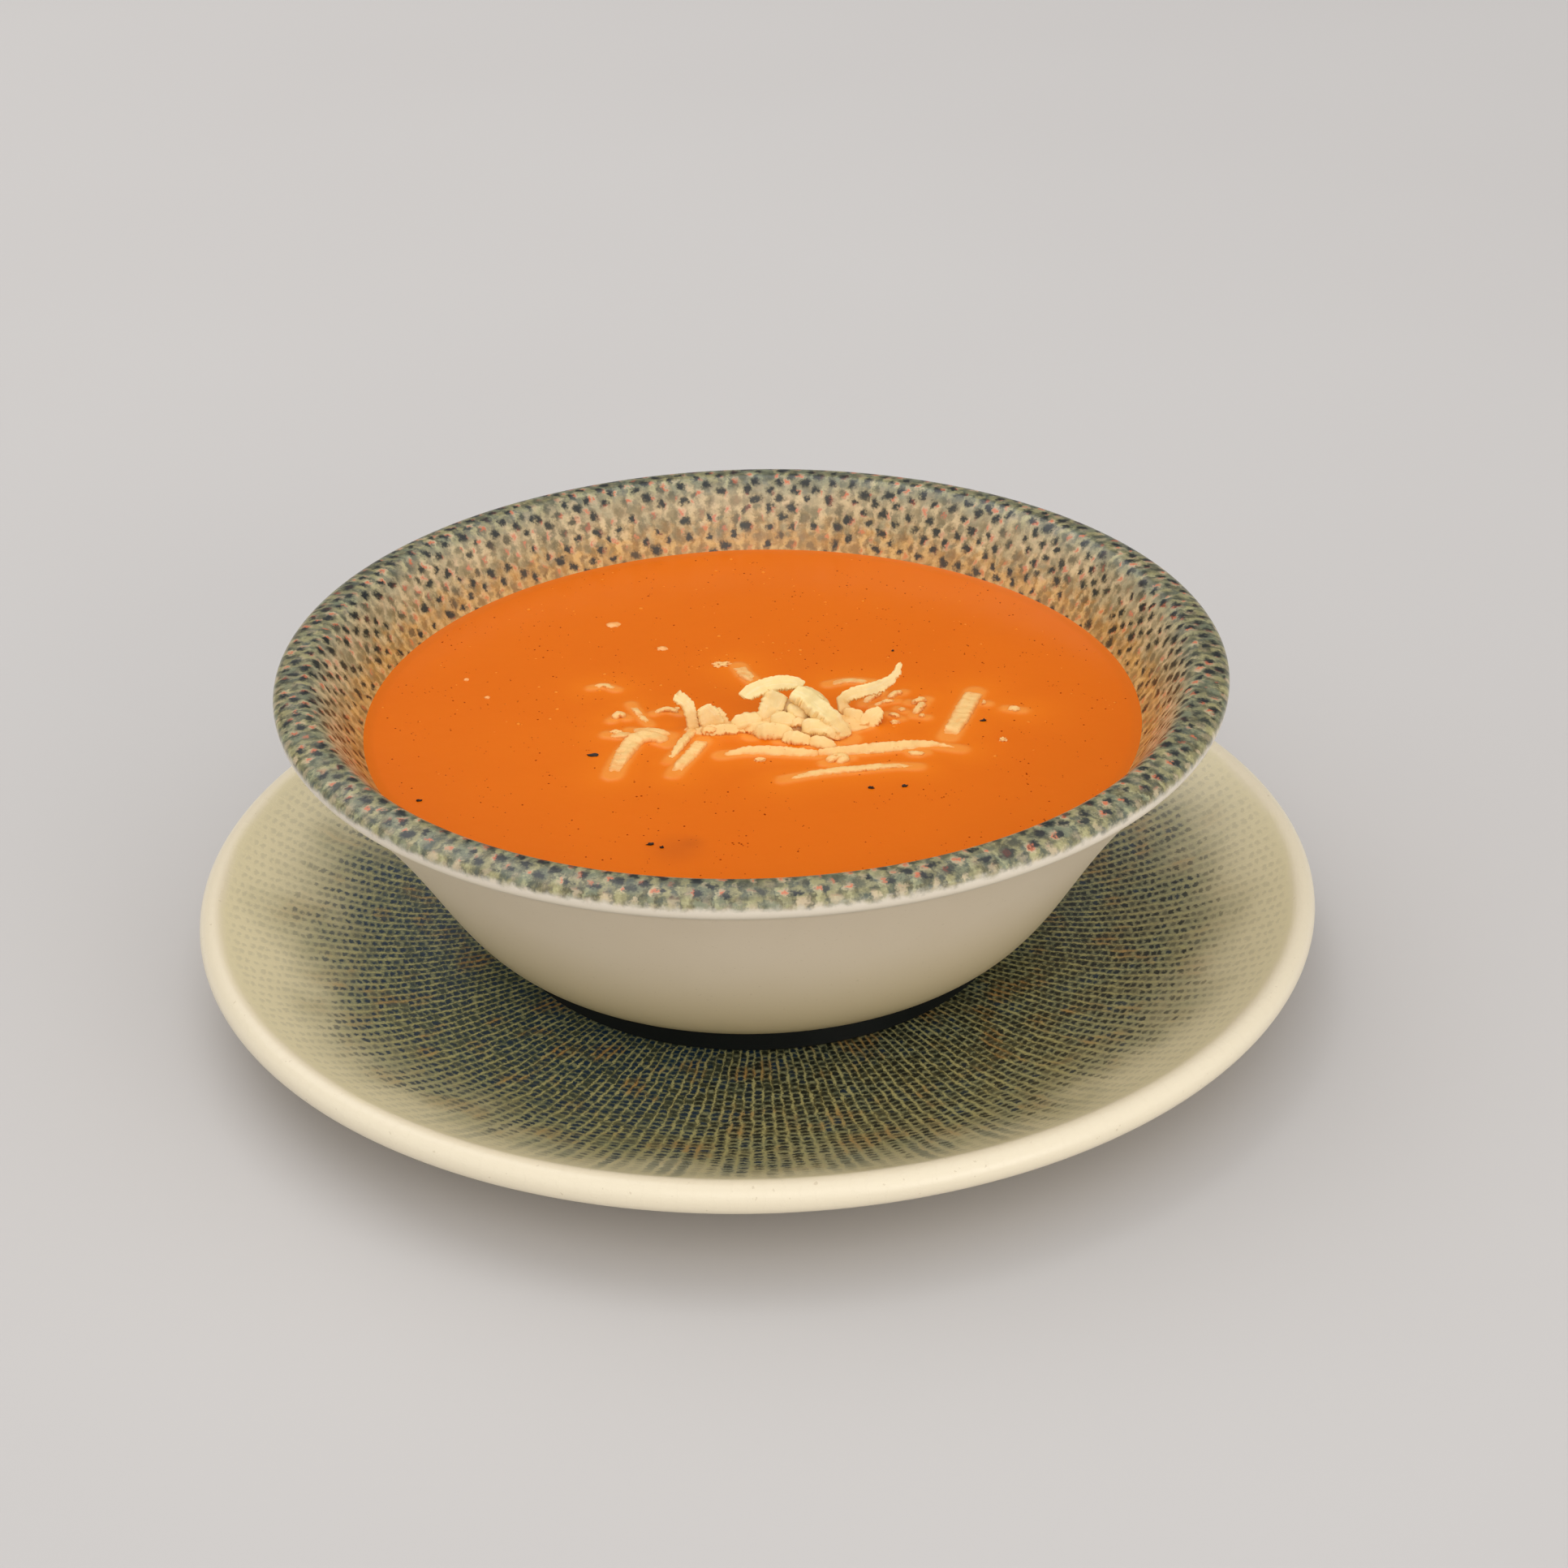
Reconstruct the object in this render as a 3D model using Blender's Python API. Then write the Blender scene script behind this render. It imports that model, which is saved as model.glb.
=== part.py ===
"""Tomato soup with grated cheese, in a rimmed bowl that stands on a coupe plate.

Heights are measured from the table, and the bowl's axis is the Z axis.
Sizes are in millimetres until a mesh is made, where MM turns them into metres.
"""

import math
import random

import bmesh
import bpy
from mathutils import Vector

MM = 0.001
GAP = 0.3
SEGMENTS = 56

# Plate: a flat floor, a wall that curves up to a rolled edge, and a foot ring
PLATE_FLOOR_TOP = 8.0
PLATE_FLOOR_RADIUS = 57.1
PLATE_CURVE = 76.4
PLATE_END_SLOPE = 30.0
PLATE_THICKNESS = 4.7
PLATE_ROLL = 2.7
PLATE_FOOT_OUTER = 60.0
PLATE_FOOT_INNER = 53.0
PLATE_FOOT_EDGE = 0.6

# Bowl: outer wall as one curve from under the lip down to the foot ring
BOWL_BASE = PLATE_FLOOR_TOP + GAP
RIM_RADIUS = 82.5
NOSE = (RIM_RADIUS, 59.0)
CREST = (77.3, 61.1)
LIP_UNDERSIDE = (80.3, 56.1)
NOSE_CONTROLS = ((81.7, 56.4), (RIM_RADIUS, 57.4))
LIP_CONTROLS = ((RIM_RADIUS, 60.3), (80.6, CREST[1]))
SHOULDER_CONTROLS = ((74.6, CREST[1]), (71.8, 54.7))
WALL_CONTROLS = ((59.0, 33.3), (58.25, 16.95))
WALL_FOOT = (46.1, 13.4)
WALL_THICKNESS = 5.2
FOOT_OUTER = 44.9
FOOT_INNER = 40.6
FOOT_EDGE = 0.4
RECESS_CEILING = 11.5
BOWL_FLOOR_TOP = 16.8
BOWL_FLOOR_FLAT = 30.0

# Soup: its level, and the thin rise where it meets the wall
SOUP_LEVEL = 49.2
SOUP_MIDDLE_RING = 34.0
MENISCUS_RISE = 0.3
MENISCUS_WIDTH = 2.0
MENISCUS_BEND = 0.3
SHALLOWEST_SIDE = 1.0

# Cheese: the corners of a strip's section, as shares of its half width and half thickness
SHRED_SECTION = ((1.0, -1.0), (0.75, 1.0), (-0.75, 1.0), (-1.0, -1.0))


def material(name, colour, roughness):
    """A plain finish with one colour."""
    finish = bpy.data.materials.new(name)
    finish.use_nodes = True
    shader = finish.node_tree.nodes["Principled BSDF"]
    shader.inputs["Base Color"].default_value = (*colour, 1.0)
    shader.inputs["Roughness"].default_value = roughness
    shader.inputs["Metallic"].default_value = 0.0
    return finish


def add_object(name, mesh, finish, crease=35.0):
    """Puts a finished mesh in the scene as one named piece, shaded smooth between its edges."""
    mesh.shade_smooth()
    mesh.set_sharp_from_angle(angle=math.radians(crease))
    mesh.materials.clear()
    mesh.materials.append(finish)
    piece = bpy.data.objects.new(name, mesh)
    bpy.context.scene.collection.objects.link(piece)
    return piece


def mesh_from(name, build):
    """Makes a mesh from a bmesh with its faces pointing out."""
    bmesh.ops.recalc_face_normals(build, faces=build.faces[:])
    mesh = bpy.data.meshes.new(name)
    build.to_mesh(mesh)
    build.free()
    return mesh


def bezier(start, control_a, control_b, end, count):
    """Points of a cubic curve, both ends included."""
    points = []
    for step in range(count + 1):
        t = step / count
        s = 1.0 - t
        weights = (s ** 3, 3 * s * s * t, 3 * s * t * t, t ** 3)
        corners = (start, control_a, control_b, end)
        points.append(tuple(sum(w * c[axis] for w, c in zip(weights, corners)) for axis in (0, 1)))
    return points


def arc(centre, radius, first, last, count):
    """Points of an arc in the profile's plane, its angles in degrees from the +r direction."""
    points = []
    for step in range(count + 1):
        angle = math.radians(first + (last - first) * step / count)
        points.append((centre[0] + radius * math.cos(angle), centre[1] + radius * math.sin(angle)))
    return points


def turned(name, profile, finish):
    """A solid of revolution. The profile runs from the axis round to the axis."""
    build = bmesh.new()
    rings = []
    for radius, height in profile:
        if radius == 0.0:
            rings.append([build.verts.new((0.0, 0.0, height * MM))])
            continue
        ring = []
        for step in range(SEGMENTS):
            angle = 2.0 * math.pi * step / SEGMENTS
            ring.append(build.verts.new((radius * MM * math.cos(angle),
                                         radius * MM * math.sin(angle), height * MM)))
        rings.append(ring)
    for lower, upper in zip(rings, rings[1:]):
        for step in range(SEGMENTS):
            after = (step + 1) % SEGMENTS
            if len(lower) == 1:
                build.faces.new((lower[0], upper[step], upper[after]))
            elif len(upper) == 1:
                build.faces.new((lower[step], lower[after], upper[0]))
            else:
                build.faces.new((lower[step], lower[after], upper[after], upper[step]))
    bmesh.ops.triangulate(build, faces=build.faces[:])
    return add_object(name, mesh_from(name, build), finish)


def plate_profile():
    """From the middle of the underside, out over the foot ring and the rolled edge, to the middle."""
    ceiling = PLATE_FLOOR_TOP - PLATE_THICKNESS
    centre = (PLATE_FLOOR_RADIUS, PLATE_FLOOR_TOP + PLATE_CURVE)
    slope = math.radians(PLATE_END_SLOPE)
    roll = (centre[0] + (PLATE_CURVE + PLATE_ROLL) * math.sin(slope),
            centre[1] - (PLATE_CURVE + PLATE_ROLL) * math.cos(slope))
    edge = PLATE_FOOT_EDGE
    outline = [(0.0, ceiling), (PLATE_FOOT_INNER - edge, ceiling), (PLATE_FOOT_INNER, ceiling - edge),
               (PLATE_FOOT_INNER + edge, edge), (PLATE_FOOT_INNER + 2 * edge, 0.0),
               (PLATE_FOOT_OUTER - 2 * edge, 0.0), (PLATE_FOOT_OUTER - edge, edge)]
    under = arc(centre, PLATE_CURVE + PLATE_THICKNESS, -90.0, PLATE_END_SLOPE - 91.0, 6)
    outline += [point for point in under if point[0] > PLATE_FOOT_OUTER]
    outline += arc(roll, PLATE_ROLL, PLATE_END_SLOPE - 90.0, PLATE_END_SLOPE + 90.0, 6)
    inside = arc(centre, PLATE_CURVE, PLATE_END_SLOPE - 90.0, -90.0, 6)[1:]
    return outline + inside + [(0.0, PLATE_FLOOR_TOP)]


def wall_curve(offset, count):
    """The bowl's outer wall from top to foot, moved inwards by offset along its normal."""
    curve = bezier(LIP_UNDERSIDE, *WALL_CONTROLS, WALL_FOOT, 60)
    points = []
    for step in range(count + 1):
        index = min(max(round(60 * step / count), 1), 59)
        before, after = curve[index - 1], curve[index + 1]
        run, drop = after[0] - before[0], after[1] - before[1]
        length = math.hypot(run, drop)
        here = curve[round(60 * step / count)]
        points.append((here[0] + offset * drop / length, here[1] - offset * run / length))
    return points


def bowl_profile():
    """From the middle of the underside, over the foot, wall and lip, down to the middle inside."""
    edge = FOOT_EDGE
    outline = [(0.0, RECESS_CEILING), (FOOT_INNER - 3 * edge, RECESS_CEILING),
               (FOOT_INNER - edge, RECESS_CEILING - 2 * edge), (FOOT_INNER, BOWL_BASE + edge),
               (FOOT_INNER + edge, BOWL_BASE), (FOOT_OUTER - edge, BOWL_BASE),
               (FOOT_OUTER, BOWL_BASE + edge), (FOOT_OUTER - edge, WALL_FOOT[1] - 2 * edge)]
    outline += wall_curve(0.0, 8)[::-1]
    outline += bezier(LIP_UNDERSIDE, *NOSE_CONTROLS, NOSE, 3)[1:]
    outline += bezier(NOSE, *LIP_CONTROLS, CREST, 4)[1:]
    inside = wall_curve(WALL_THICKNESS, 7)[1:]
    outline += bezier(CREST, *SHOULDER_CONTROLS, inside[0], 4)[1:]
    outline += inside[1:]
    return outline + [(BOWL_FLOOR_FLAT, BOWL_FLOOR_TOP), (0.0, BOWL_FLOOR_TOP)]


def soup_profile():
    """The inside of the bowl up to the soup's level, a gap clear of the wall."""
    top = SOUP_LEVEL + MENISCUS_RISE
    side = [point for point in wall_curve(WALL_THICKNESS + GAP, 8)
            if point[1] < SOUP_LEVEL - SHALLOWEST_SIDE]
    fine = wall_curve(WALL_THICKNESS + GAP, 60)
    rim = min(fine, key=lambda point: abs(point[1] - top))[0]
    bend = (rim - MENISCUS_BEND * MENISCUS_WIDTH, SOUP_LEVEL + MENISCUS_BEND * MENISCUS_RISE)
    surface = [(rim, top), bend, (rim - MENISCUS_WIDTH, SOUP_LEVEL), (SOUP_MIDDLE_RING, SOUP_LEVEL),
               (0.0, SOUP_LEVEL)]
    floor = BOWL_FLOOR_TOP + GAP
    return [(0.0, floor), (BOWL_FLOOR_FLAT, floor)] + side[::-1] + surface


def smooth_path(points, steps):
    """A Catmull-Rom curve through the points, with the given number of steps between two of them."""
    ends = [2 * points[0] - points[1]] + points + [2 * points[-1] - points[-2]]
    path = []
    for index in range(1, len(ends) - 2):
        a, b, c, d = ends[index - 1:index + 3]
        for step in range(steps):
            t = step / steps
            path.append(0.5 * (2 * b + (c - a) * t + (2 * a - 5 * b + 4 * c - d) * t * t
                               + (3 * b - a - 3 * c + d) * t ** 3))
    return path + [points[-1]]


class Shred:
    """One strip of grated cheese.

    path: points (x, y, height over the soup); size: width and thickness; tips: the share of the
    width left at either end; face: the direction that its broad side looks in.
    """

    def __init__(self, path, size, tips=(0.5, 0.5), face=(0.0, 0.0, 1.0), steps=2):
        self.path = [Vector((x, y, SOUP_LEVEL + h)) for x, y, h in path]
        self.size = size
        self.tips = tips
        self.face = Vector(face).normalized()
        self.steps = steps

    def mesh(self, name, grow):
        """The strip as a closed bar, a little narrower on its face, made wider all round by grow."""
        draw = random.Random(round(7 * self.path[0].x + 13 * self.path[0].y))
        spine = smooth_path(self.path, self.steps)
        last = len(spine) - 1
        build = bmesh.new()
        rings = []
        for index, point in enumerate(spine):
            tangent = (spine[min(index + 1, last)] - spine[max(index - 1, 0)]).normalized()
            side = tangent.cross(self.face).normalized()
            out = side.cross(tangent)
            if index in (0, last):
                point = point + tangent * grow * (1 if index else -1)
            share = index / last
            tip = self.tips[0] if share < 0.5 else self.tips[1]
            full = tip + (1.0 - tip) * math.sin(math.pi * min(1.0, max(0.0, share))) ** 0.5
            half = 0.5 * self.size[0] * full * draw.uniform(0.9, 1.1) + grow
            deep = 0.5 * self.size[1] * (0.4 + 0.6 * full) + grow
            ring = []
            for across, up in SHRED_SECTION:
                ring.append(build.verts.new((point + side * half * across + out * deep * up) * MM))
            rings.append(ring)
        for lower, upper in zip(rings, rings[1:]):
            for step in range(len(SHRED_SECTION)):
                after = (step + 1) % len(SHRED_SECTION)
                build.faces.new((lower[step], lower[after], upper[after], upper[step]))
        build.faces.new(rings[0])
        build.faces.new(rings[-1])
        bmesh.ops.triangulate(build, faces=build.faces[:])
        return mesh_from(name, build)


class Lobe:
    """A low rounded mass: its middle (x, y, height over the soup), its half sizes and its rings."""

    def __init__(self, middle, half, detail=2):
        self.middle = Vector((middle[0], middle[1], SOUP_LEVEL + middle[2]))
        self.half = half
        self.detail = detail

    def mesh(self, name, grow):
        build = bmesh.new()
        bmesh.ops.create_icosphere(build, subdivisions=self.detail, radius=1.0)
        for vert in build.verts:
            for axis in range(3):
                vert.co[axis] = (vert.co[axis] * (self.half[axis] + grow) + self.middle[axis]) * MM
        return mesh_from(name, build)


FRONT = (0.0, -0.6, 0.8)

# The heap in the middle: a low mass, with the strips that stand, lean and lie on it
HEAP_CORE = Lobe((5.4, -5.0, -0.5), (7.4, 3.2, 2.6))
HEAP_LOBES = (
    Lobe((14.2, -5.0, -0.5), (6.4, 3.2, 1.6)),
    Lobe((-6.0, -5.7, -0.6), (6.4, 1.8, 1.7)),
)
HEAP_SHREDS = (
    # arched strip on top, its left end hanging
    Shred(((-1.6, -3.9, 4.6), (-0.4, -3.0, 5.8), (3.2, -1.8, 6.7), (7.2, -1.0, 6.5), (9.2, -1.0, 5.2)),
          (3.2, 1.2), (0.9, 0.7), (-0.2, -0.7, 0.7)),
    # broad strip that stands under the arch
    Shred(((4.8, -2.2, 6.0), (3.7, -3.4, 4.0), (2.6, -4.8, 1.8), (2.2, -5.4, -0.4)),
          (4.2, 1.1), (0.8, 0.8), (0.2, -1.0, 0.3)),
    Shred(((4.8, -4.2, 3.4), (4.5, -5.6, 1.6), (4.0, -6.4, -0.4)), (1.7, 0.8), (0.7, 0.7), FRONT),
    # thick strip that leans down to the right, and the thin one behind it
    Shred(((6.6, -2.4, 5.6), (9.4, -4.1, 4.7), (12.2, -6.2, 3.1), (14.6, -8.4, 1.4), (16.4, -10.2, -0.3)),
          (4.4, 2.0), (0.7, 0.5), (0.5, -0.4, 0.8)),
    Shred(((7.6, -0.6, 5.4), (10.2, -1.2, 4.9), (12.4, -2.4, 3.6), (13.8, -4.2, 1.6)),
          (1.9, 0.9), (0.5, 0.6), (0.5, 0.2, 0.8)),
    # curled strip that stands on the left
    Shred(((-10.2, -5.6, -0.5), (-10.5, -4.9, 2.6), (-11.7, -4.4, 5.0), (-13.7, -4.0, 6.8)),
          (2.2, 0.9), (0.8, 0.9), (0.3, -0.9, 0.5)),
    # jagged flakes beside it
    Shred(((-6.4, -5.6, -0.5), (-7.4, -5.2, 2.2), (-8.9, -4.8, 4.8)), (4.0, 1.2), (1.0, 0.35),
          (0.1, -1.0, 0.4)),
    Shred(((-4.6, -5.0, -0.4), (-5.7, -4.4, 1.8), (-6.9, -3.9, 3.9)), (2.4, 0.9), (1.0, 0.5),
          (0.1, -1.0, 0.4)),
    Shred(((-10.6, -6.3, 0.0), (-5.4, -6.7, 0.5), (0.0, -6.0, 0.3)), (2.0, 1.4), (0.5, 0.7), FRONT),
    # lumps at the foot of the heap
    Shred(((-3.4, -5.4, 0.7), (-1.0, -5.2, 1.6), (1.8, -4.9, 1.5)), (3.0, 1.8), (0.6, 0.8), FRONT),
    Shred(((1.0, -8.2, 0.2), (3.8, -8.4, 1.0), (6.8, -9.2, 0.5)), (3.2, 1.7), (0.6, 0.7), FRONT),
    Shred(((8.4, -8.6, 0.5), (10.8, -9.0, 1.5), (12.6, -10.0, 0.8), (13.2, -11.6, -0.3)), (3.0, 1.8),
          (0.7, 0.6), FRONT),
    Shred(((5.2, -10.4, 0.2), (7.8, -11.6, 0.5), (10.2, -12.6, 0.2)), (2.7, 1.6), (0.6, 0.7), FRONT),
    Shred(((9.6, -11.0, 0.2), (12.4, -12.9, 0.4), (14.6, -14.4, 0.0)), (2.4, 1.4), (0.7, 0.6), FRONT),
    # two long strips in front, half sunk
    Shred(((-5.6, -15.0, -0.6), (-0.6, -14.2, 0.1), (5.6, -14.9, 0.2), (11.6, -15.8, -0.1)), (2.4, 1.5),
          (0.3, 0.6), FRONT, 1),
    Shred(((10.4, -15.4, 0.0), (17.0, -15.2, 0.3), (24.0, -14.2, 0.3), (30.2, -13.4, -0.1),
           (35.6, -15.0, -0.7)), (2.4, 1.5), (0.6, 0.25), FRONT, 1),
    Shred(((13.4, -15.6, 0.0), (15.0, -17.4, 0.3), (13.6, -19.2, -0.3)), (2.6, 1.3), (0.8, 0.6)),
    # thin curled strip that rises to a point on the right
    Shred(((16.6, -1.6, -0.5), (15.8, -0.6, 2.2), (17.4, -0.2, 3.6), (21.0, 0.1, 4.3),
           (23.6, 0.9, 5.1), (25.3, 1.7, 6.4), (26.2, 3.2, 8.4)), (2.2, 0.9), (0.8, 0.12),
          (0.2, -0.8, 0.6)),
    Shred(((15.6, -1.8, 0.2), (17.6, -3.2, 1.0), (19.8, -4.8, 0.4)), (2.4, 1.2), (0.7, 0.7), FRONT),
    Shred(((19.0, -5.8, -0.5), (20.6, -4.6, 0.9), (22.8, -2.8, 2.2)), (3.2, 1.0), (0.9, 0.3), FRONT),
    # narrow strip that runs out of the left side
    Shred(((-10.4, -6.2, 0.0), (-12.0, -10.2, 0.5), (-13.3, -13.4, 0.2), (-14.7, -16.6, -0.5)),
          (1.4, 1.0), (0.8, 0.3)),
)

# Strips and flakes that lie apart, each half sunk in the soup
FOLD_SHREDS = (
    Shred(((-14.6, -9.8, -0.1), (-17.2, -8.0, 0.8), (-20.0, -8.6, 0.8), (-21.9, -12.6, 0.2),
           (-23.2, -17.0, -0.2), (-24.0, -20.8, -0.6)), (3.5, 1.5), (0.6, 0.45)),
    Shred(((-21.4, -5.0, 0.0), (-17.6, -5.6, 0.7), (-14.0, -7.4, 0.2)), (1.9, 1.1), (0.4, 0.5)),
    Shred(((-25.2, -6.2, -0.3), (-23.0, -6.8, 0.2), (-20.6, -6.8, 0.5)), (2.2, 1.0), (0.5, 0.7)),
)
LONE_SHREDS = {
    "cheese_strip_left": Shred(((-8.6, -9.3, 0.2), (-10.1, -13.2, 0.2), (-12.2, -17.6, -0.2),
                                (-13.7, -21.2, -0.7)), (2.7, 1.5), (0.8, 0.6)),
    "cheese_strip_right": Shred(((39.4, 6.0, 0.0), (37.6, 0.8, 0.2), (35.6, -5.2, 0.1),
                                 (33.7, -10.4, -0.5)), (3.6, 1.5), (0.8, 0.7)),
    "cheese_strip_front": Shred(((4.8, -24.2, -0.6), (11.0, -22.3, 0.1), (17.6, -21.4, 0.2),
                                 (23.4, -20.6, 0.1), (28.0, -20.8, -0.6)), (2.0, 1.3), (0.3, 0.3)),
    "cheese_flake_back": Shred(((-2.3, 18.6, 0.0), (-1.3, 15.6, 0.3), (0.6, 12.0, 0.0)), (2.7, 1.1),
                               (0.7, 0.5)),
    "cheese_flake_right": Shred(((13.6, 10.6, -0.2), (17.4, 11.6, 0.1), (21.6, 10.8, -0.2)), (2.0, 1.0),
                                (0.4, 0.4)),
    "cheese_sliver_left": Shred(((-21.4, 5.0, -0.3), (-19.8, 0.8, 0.0), (-18.0, -3.0, -0.3)), (1.4, 1.0),
                                (0.5, 0.6)),
}

# What is smaller still: crumbs, pepper and bubbles on the surface, as (x, y, half length, half width)
CRUMBS = (
    (-23.2, -0.6, 1.4, 1.6), (-15.0, 1.2, 1.9, 0.7), (24.8, 5.0, 1.7, 0.9), (29.2, 2.8, 1.2, 0.9),
    (28.6, -2.0, 1.4, 1.0), (25.4, -0.6, 0.8, 0.6), (27.6, -16.4, 1.3, 0.7), (45.8, -1.1, 1.6, 0.7),
    (-6.7, 18.7, 2.2, 1.2), (-26.2, 12.0, 1.9, 0.9),
)
PEPPER = ((-27.5, -13.6), (25.1, -27.5), (19.6, -27.8), (-17.3, -44.8), (40.2, -4.8), (-56.3, -28.0),
          (-10.8, -45.5), (-15.4, -46.0))
BUBBLES = ((-25.4, 37.0), (-16.3, 26.4), (-51.1, 16.2), (-47.0, 9.0))
CRUMB_HEIGHT = 0.55
PEPPER_HALF = 0.55
BUBBLE_HALF = 0.9
SPECK_HEIGHT = 0.3


def helpers(pieces, name, grow=0.0):
    """The pieces as objects of a collection of their own, for a Boolean to read."""
    group = bpy.data.collections.new(name)
    bpy.context.scene.collection.children.link(group)
    for index, piece in enumerate(pieces):
        mesh = piece.mesh(f"{name}_{index}", grow)
        group.objects.link(bpy.data.objects.new(mesh.name, mesh))
    return group


def combined(mesh, group, operation):
    """Joins the collection to the mesh, or cuts it away, and removes the collection."""
    base = bpy.data.objects.new("base", mesh)
    bpy.context.scene.collection.objects.link(base)
    change = base.modifiers.new("combine", "BOOLEAN")
    change.operation = operation
    change.operand_type = "COLLECTION"
    change.collection = group
    change.solver = "EXACT"
    graph = bpy.context.evaluated_depsgraph_get()
    result = bpy.data.meshes.new_from_object(base.evaluated_get(graph))
    for piece in list(group.objects) + [base]:
        bpy.data.objects.remove(piece)
    bpy.data.collections.remove(group)
    return tidied(result)


def tidied(mesh):
    """Merges the points that a Boolean leaves on top of each other, and drops loose scraps."""
    build = bmesh.new()
    build.from_mesh(mesh)
    bmesh.ops.remove_doubles(build, verts=build.verts[:], dist=0.002 * MM)
    bmesh.ops.dissolve_degenerate(build, edges=build.edges[:], dist=0.002 * MM)
    bmesh.ops.triangulate(build, faces=build.faces[:])
    unseen = set(build.verts)
    islands = []
    while unseen:
        island, front = set(), [next(iter(unseen))]
        while front:
            vert = front.pop()
            if vert in island:
                continue
            island.add(vert)
            front.extend(edge.other_vert(vert) for edge in vert.link_edges)
        unseen -= island
        islands.append(island)
    islands.sort(key=len, reverse=True)
    scraps = [vert for island in islands[1:] for vert in island]
    bmesh.ops.delete(build, geom=scraps, context="VERTS")
    build.to_mesh(mesh)
    build.free()
    return mesh


def speck_lobes():
    """Crumbs, pepper and bubbles as low rounded bumps centred on the surface."""
    lobes = [Lobe((x, y, 0.0), (long, wide, CRUMB_HEIGHT), 1) for x, y, long, wide in CRUMBS]
    lobes += [Lobe((x, y, 0.0), (PEPPER_HALF, PEPPER_HALF, SPECK_HEIGHT), 1) for x, y in PEPPER]
    lobes += [Lobe((x, y, 0.0), (BUBBLE_HALF, BUBBLE_HALF, SPECK_HEIGHT), 1) for x, y in BUBBLES]
    return lobes


def make_cheese():
    """The heap, the folded strip and the lone strips, each as one piece."""
    cheese = material("cheese", (0.88, 0.72, 0.36), 0.45)
    core = HEAP_CORE.mesh("cheese_heap", 0.0)
    heap = combined(core, helpers(HEAP_LOBES + HEAP_SHREDS, "heap_parts"), "UNION")
    add_object("cheese_heap", heap, cheese)
    fold = combined(FOLD_SHREDS[0].mesh("cheese_fold_left", 0.0),
                    helpers(FOLD_SHREDS[1:], "fold_parts"), "UNION")
    add_object("cheese_fold_left", fold, cheese)
    for name, shred in LONE_SHREDS.items():
        add_object(name, shred.mesh(name, 0.0), cheese)


def make_soup():
    """The soup with its specks, cut clear of every piece of cheese that sinks into it."""
    finish = material("soup", (0.76, 0.20, 0.015), 0.25)
    soup = turned("soup", soup_profile(), finish)
    mesh = soup.data
    bpy.data.objects.remove(soup)
    mesh = combined(mesh, helpers(speck_lobes(), "specks"), "UNION")
    sunk = (HEAP_CORE,) + HEAP_LOBES + HEAP_SHREDS + FOLD_SHREDS + tuple(LONE_SHREDS.values())
    mesh = combined(mesh, helpers(sunk, "hollows", GAP), "DIFFERENCE")
    add_object("soup", mesh, finish)


def main():
    for old in list(bpy.data.objects):
        bpy.data.objects.remove(old)
    turned("plate", plate_profile(), material("plate_glaze", (0.36, 0.32, 0.19), 0.3))
    turned("bowl", bowl_profile(), material("bowl_glaze", (0.52, 0.44, 0.32), 0.3))
    make_soup()
    make_cheese()


main()
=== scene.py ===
"""Looks of a bowl of tomato soup with grated cheese, which stands on its plate.

The bowl wears a knit print on its lip and inside, the plate a woven one.
Lengths are in millimetres until a mesh is made, where MM turns them into metres.
"""

import math

import bmesh
import bpy
import numpy as np
from mathutils import Matrix, Vector, noise


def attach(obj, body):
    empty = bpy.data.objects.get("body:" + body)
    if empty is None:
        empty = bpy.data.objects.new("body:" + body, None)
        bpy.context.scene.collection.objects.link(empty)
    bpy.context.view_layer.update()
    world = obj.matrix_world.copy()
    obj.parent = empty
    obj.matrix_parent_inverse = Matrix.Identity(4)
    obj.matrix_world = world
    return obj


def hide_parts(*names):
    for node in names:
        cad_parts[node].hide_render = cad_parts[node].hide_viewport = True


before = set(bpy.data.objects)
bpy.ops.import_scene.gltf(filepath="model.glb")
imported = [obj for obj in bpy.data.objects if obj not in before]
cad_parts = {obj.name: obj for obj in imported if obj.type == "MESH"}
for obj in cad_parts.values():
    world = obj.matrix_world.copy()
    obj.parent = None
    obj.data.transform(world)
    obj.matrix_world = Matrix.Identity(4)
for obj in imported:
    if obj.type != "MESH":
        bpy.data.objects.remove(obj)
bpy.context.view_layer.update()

MM = 0.001
PER_METRE = 1000.0
SQUARE_CM_IN_SQUARE_METRE = 1e4
TURN = 2.0 * math.pi

# Camera: angles in degrees, distance from the middle of the rim's plane, which is at the aim's height
CAMERA_ELEVATION = 26.813
CAMERA_ROLL = 1.554
CAMERA_PAN = -0.512
CAMERA_TILT = -2.115
CAMERA_DISTANCE = 574.375
CAMERA_LENS = 75.862
CAMERA_SENSOR = 36.0
CAMERA_NEAREST = 0.01
CAMERA_AIM = 59.3

# The room's light, and how much of it comes from low behind, where the soup's shine would show it
ROOM_LIGHT = (0.95, 0.95, 0.95, 1.0)
ROOM_SHADE = (0.14, 0.14, 0.14, 1.0)
ROOM_BRIGHT_FROM = 0.78
ROOM_DARK_BELOW = 0.5

# Softboxes, in metres: where each stands, what it looks at, its size, its power and its colour
LAMPS = {
    "front_low": ((0.95, -1.25, 0.35), (0.0, 0.0, 0.04), 1.0, 7.0, (1.0, 0.985, 0.965)),
    "front_high": ((0.0, -1.2, 1.1), (0.0, 0.0, 0.04), 1.0, 3.2, (1.0, 0.99, 0.98)),
    "overhead": ((-0.45, 0.5, 1.1), (0.0, 0.0, 0.03), 1.1, 4.8, (1.0, 0.99, 0.97)),
}
TABLE_HALF = 6.0

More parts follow.
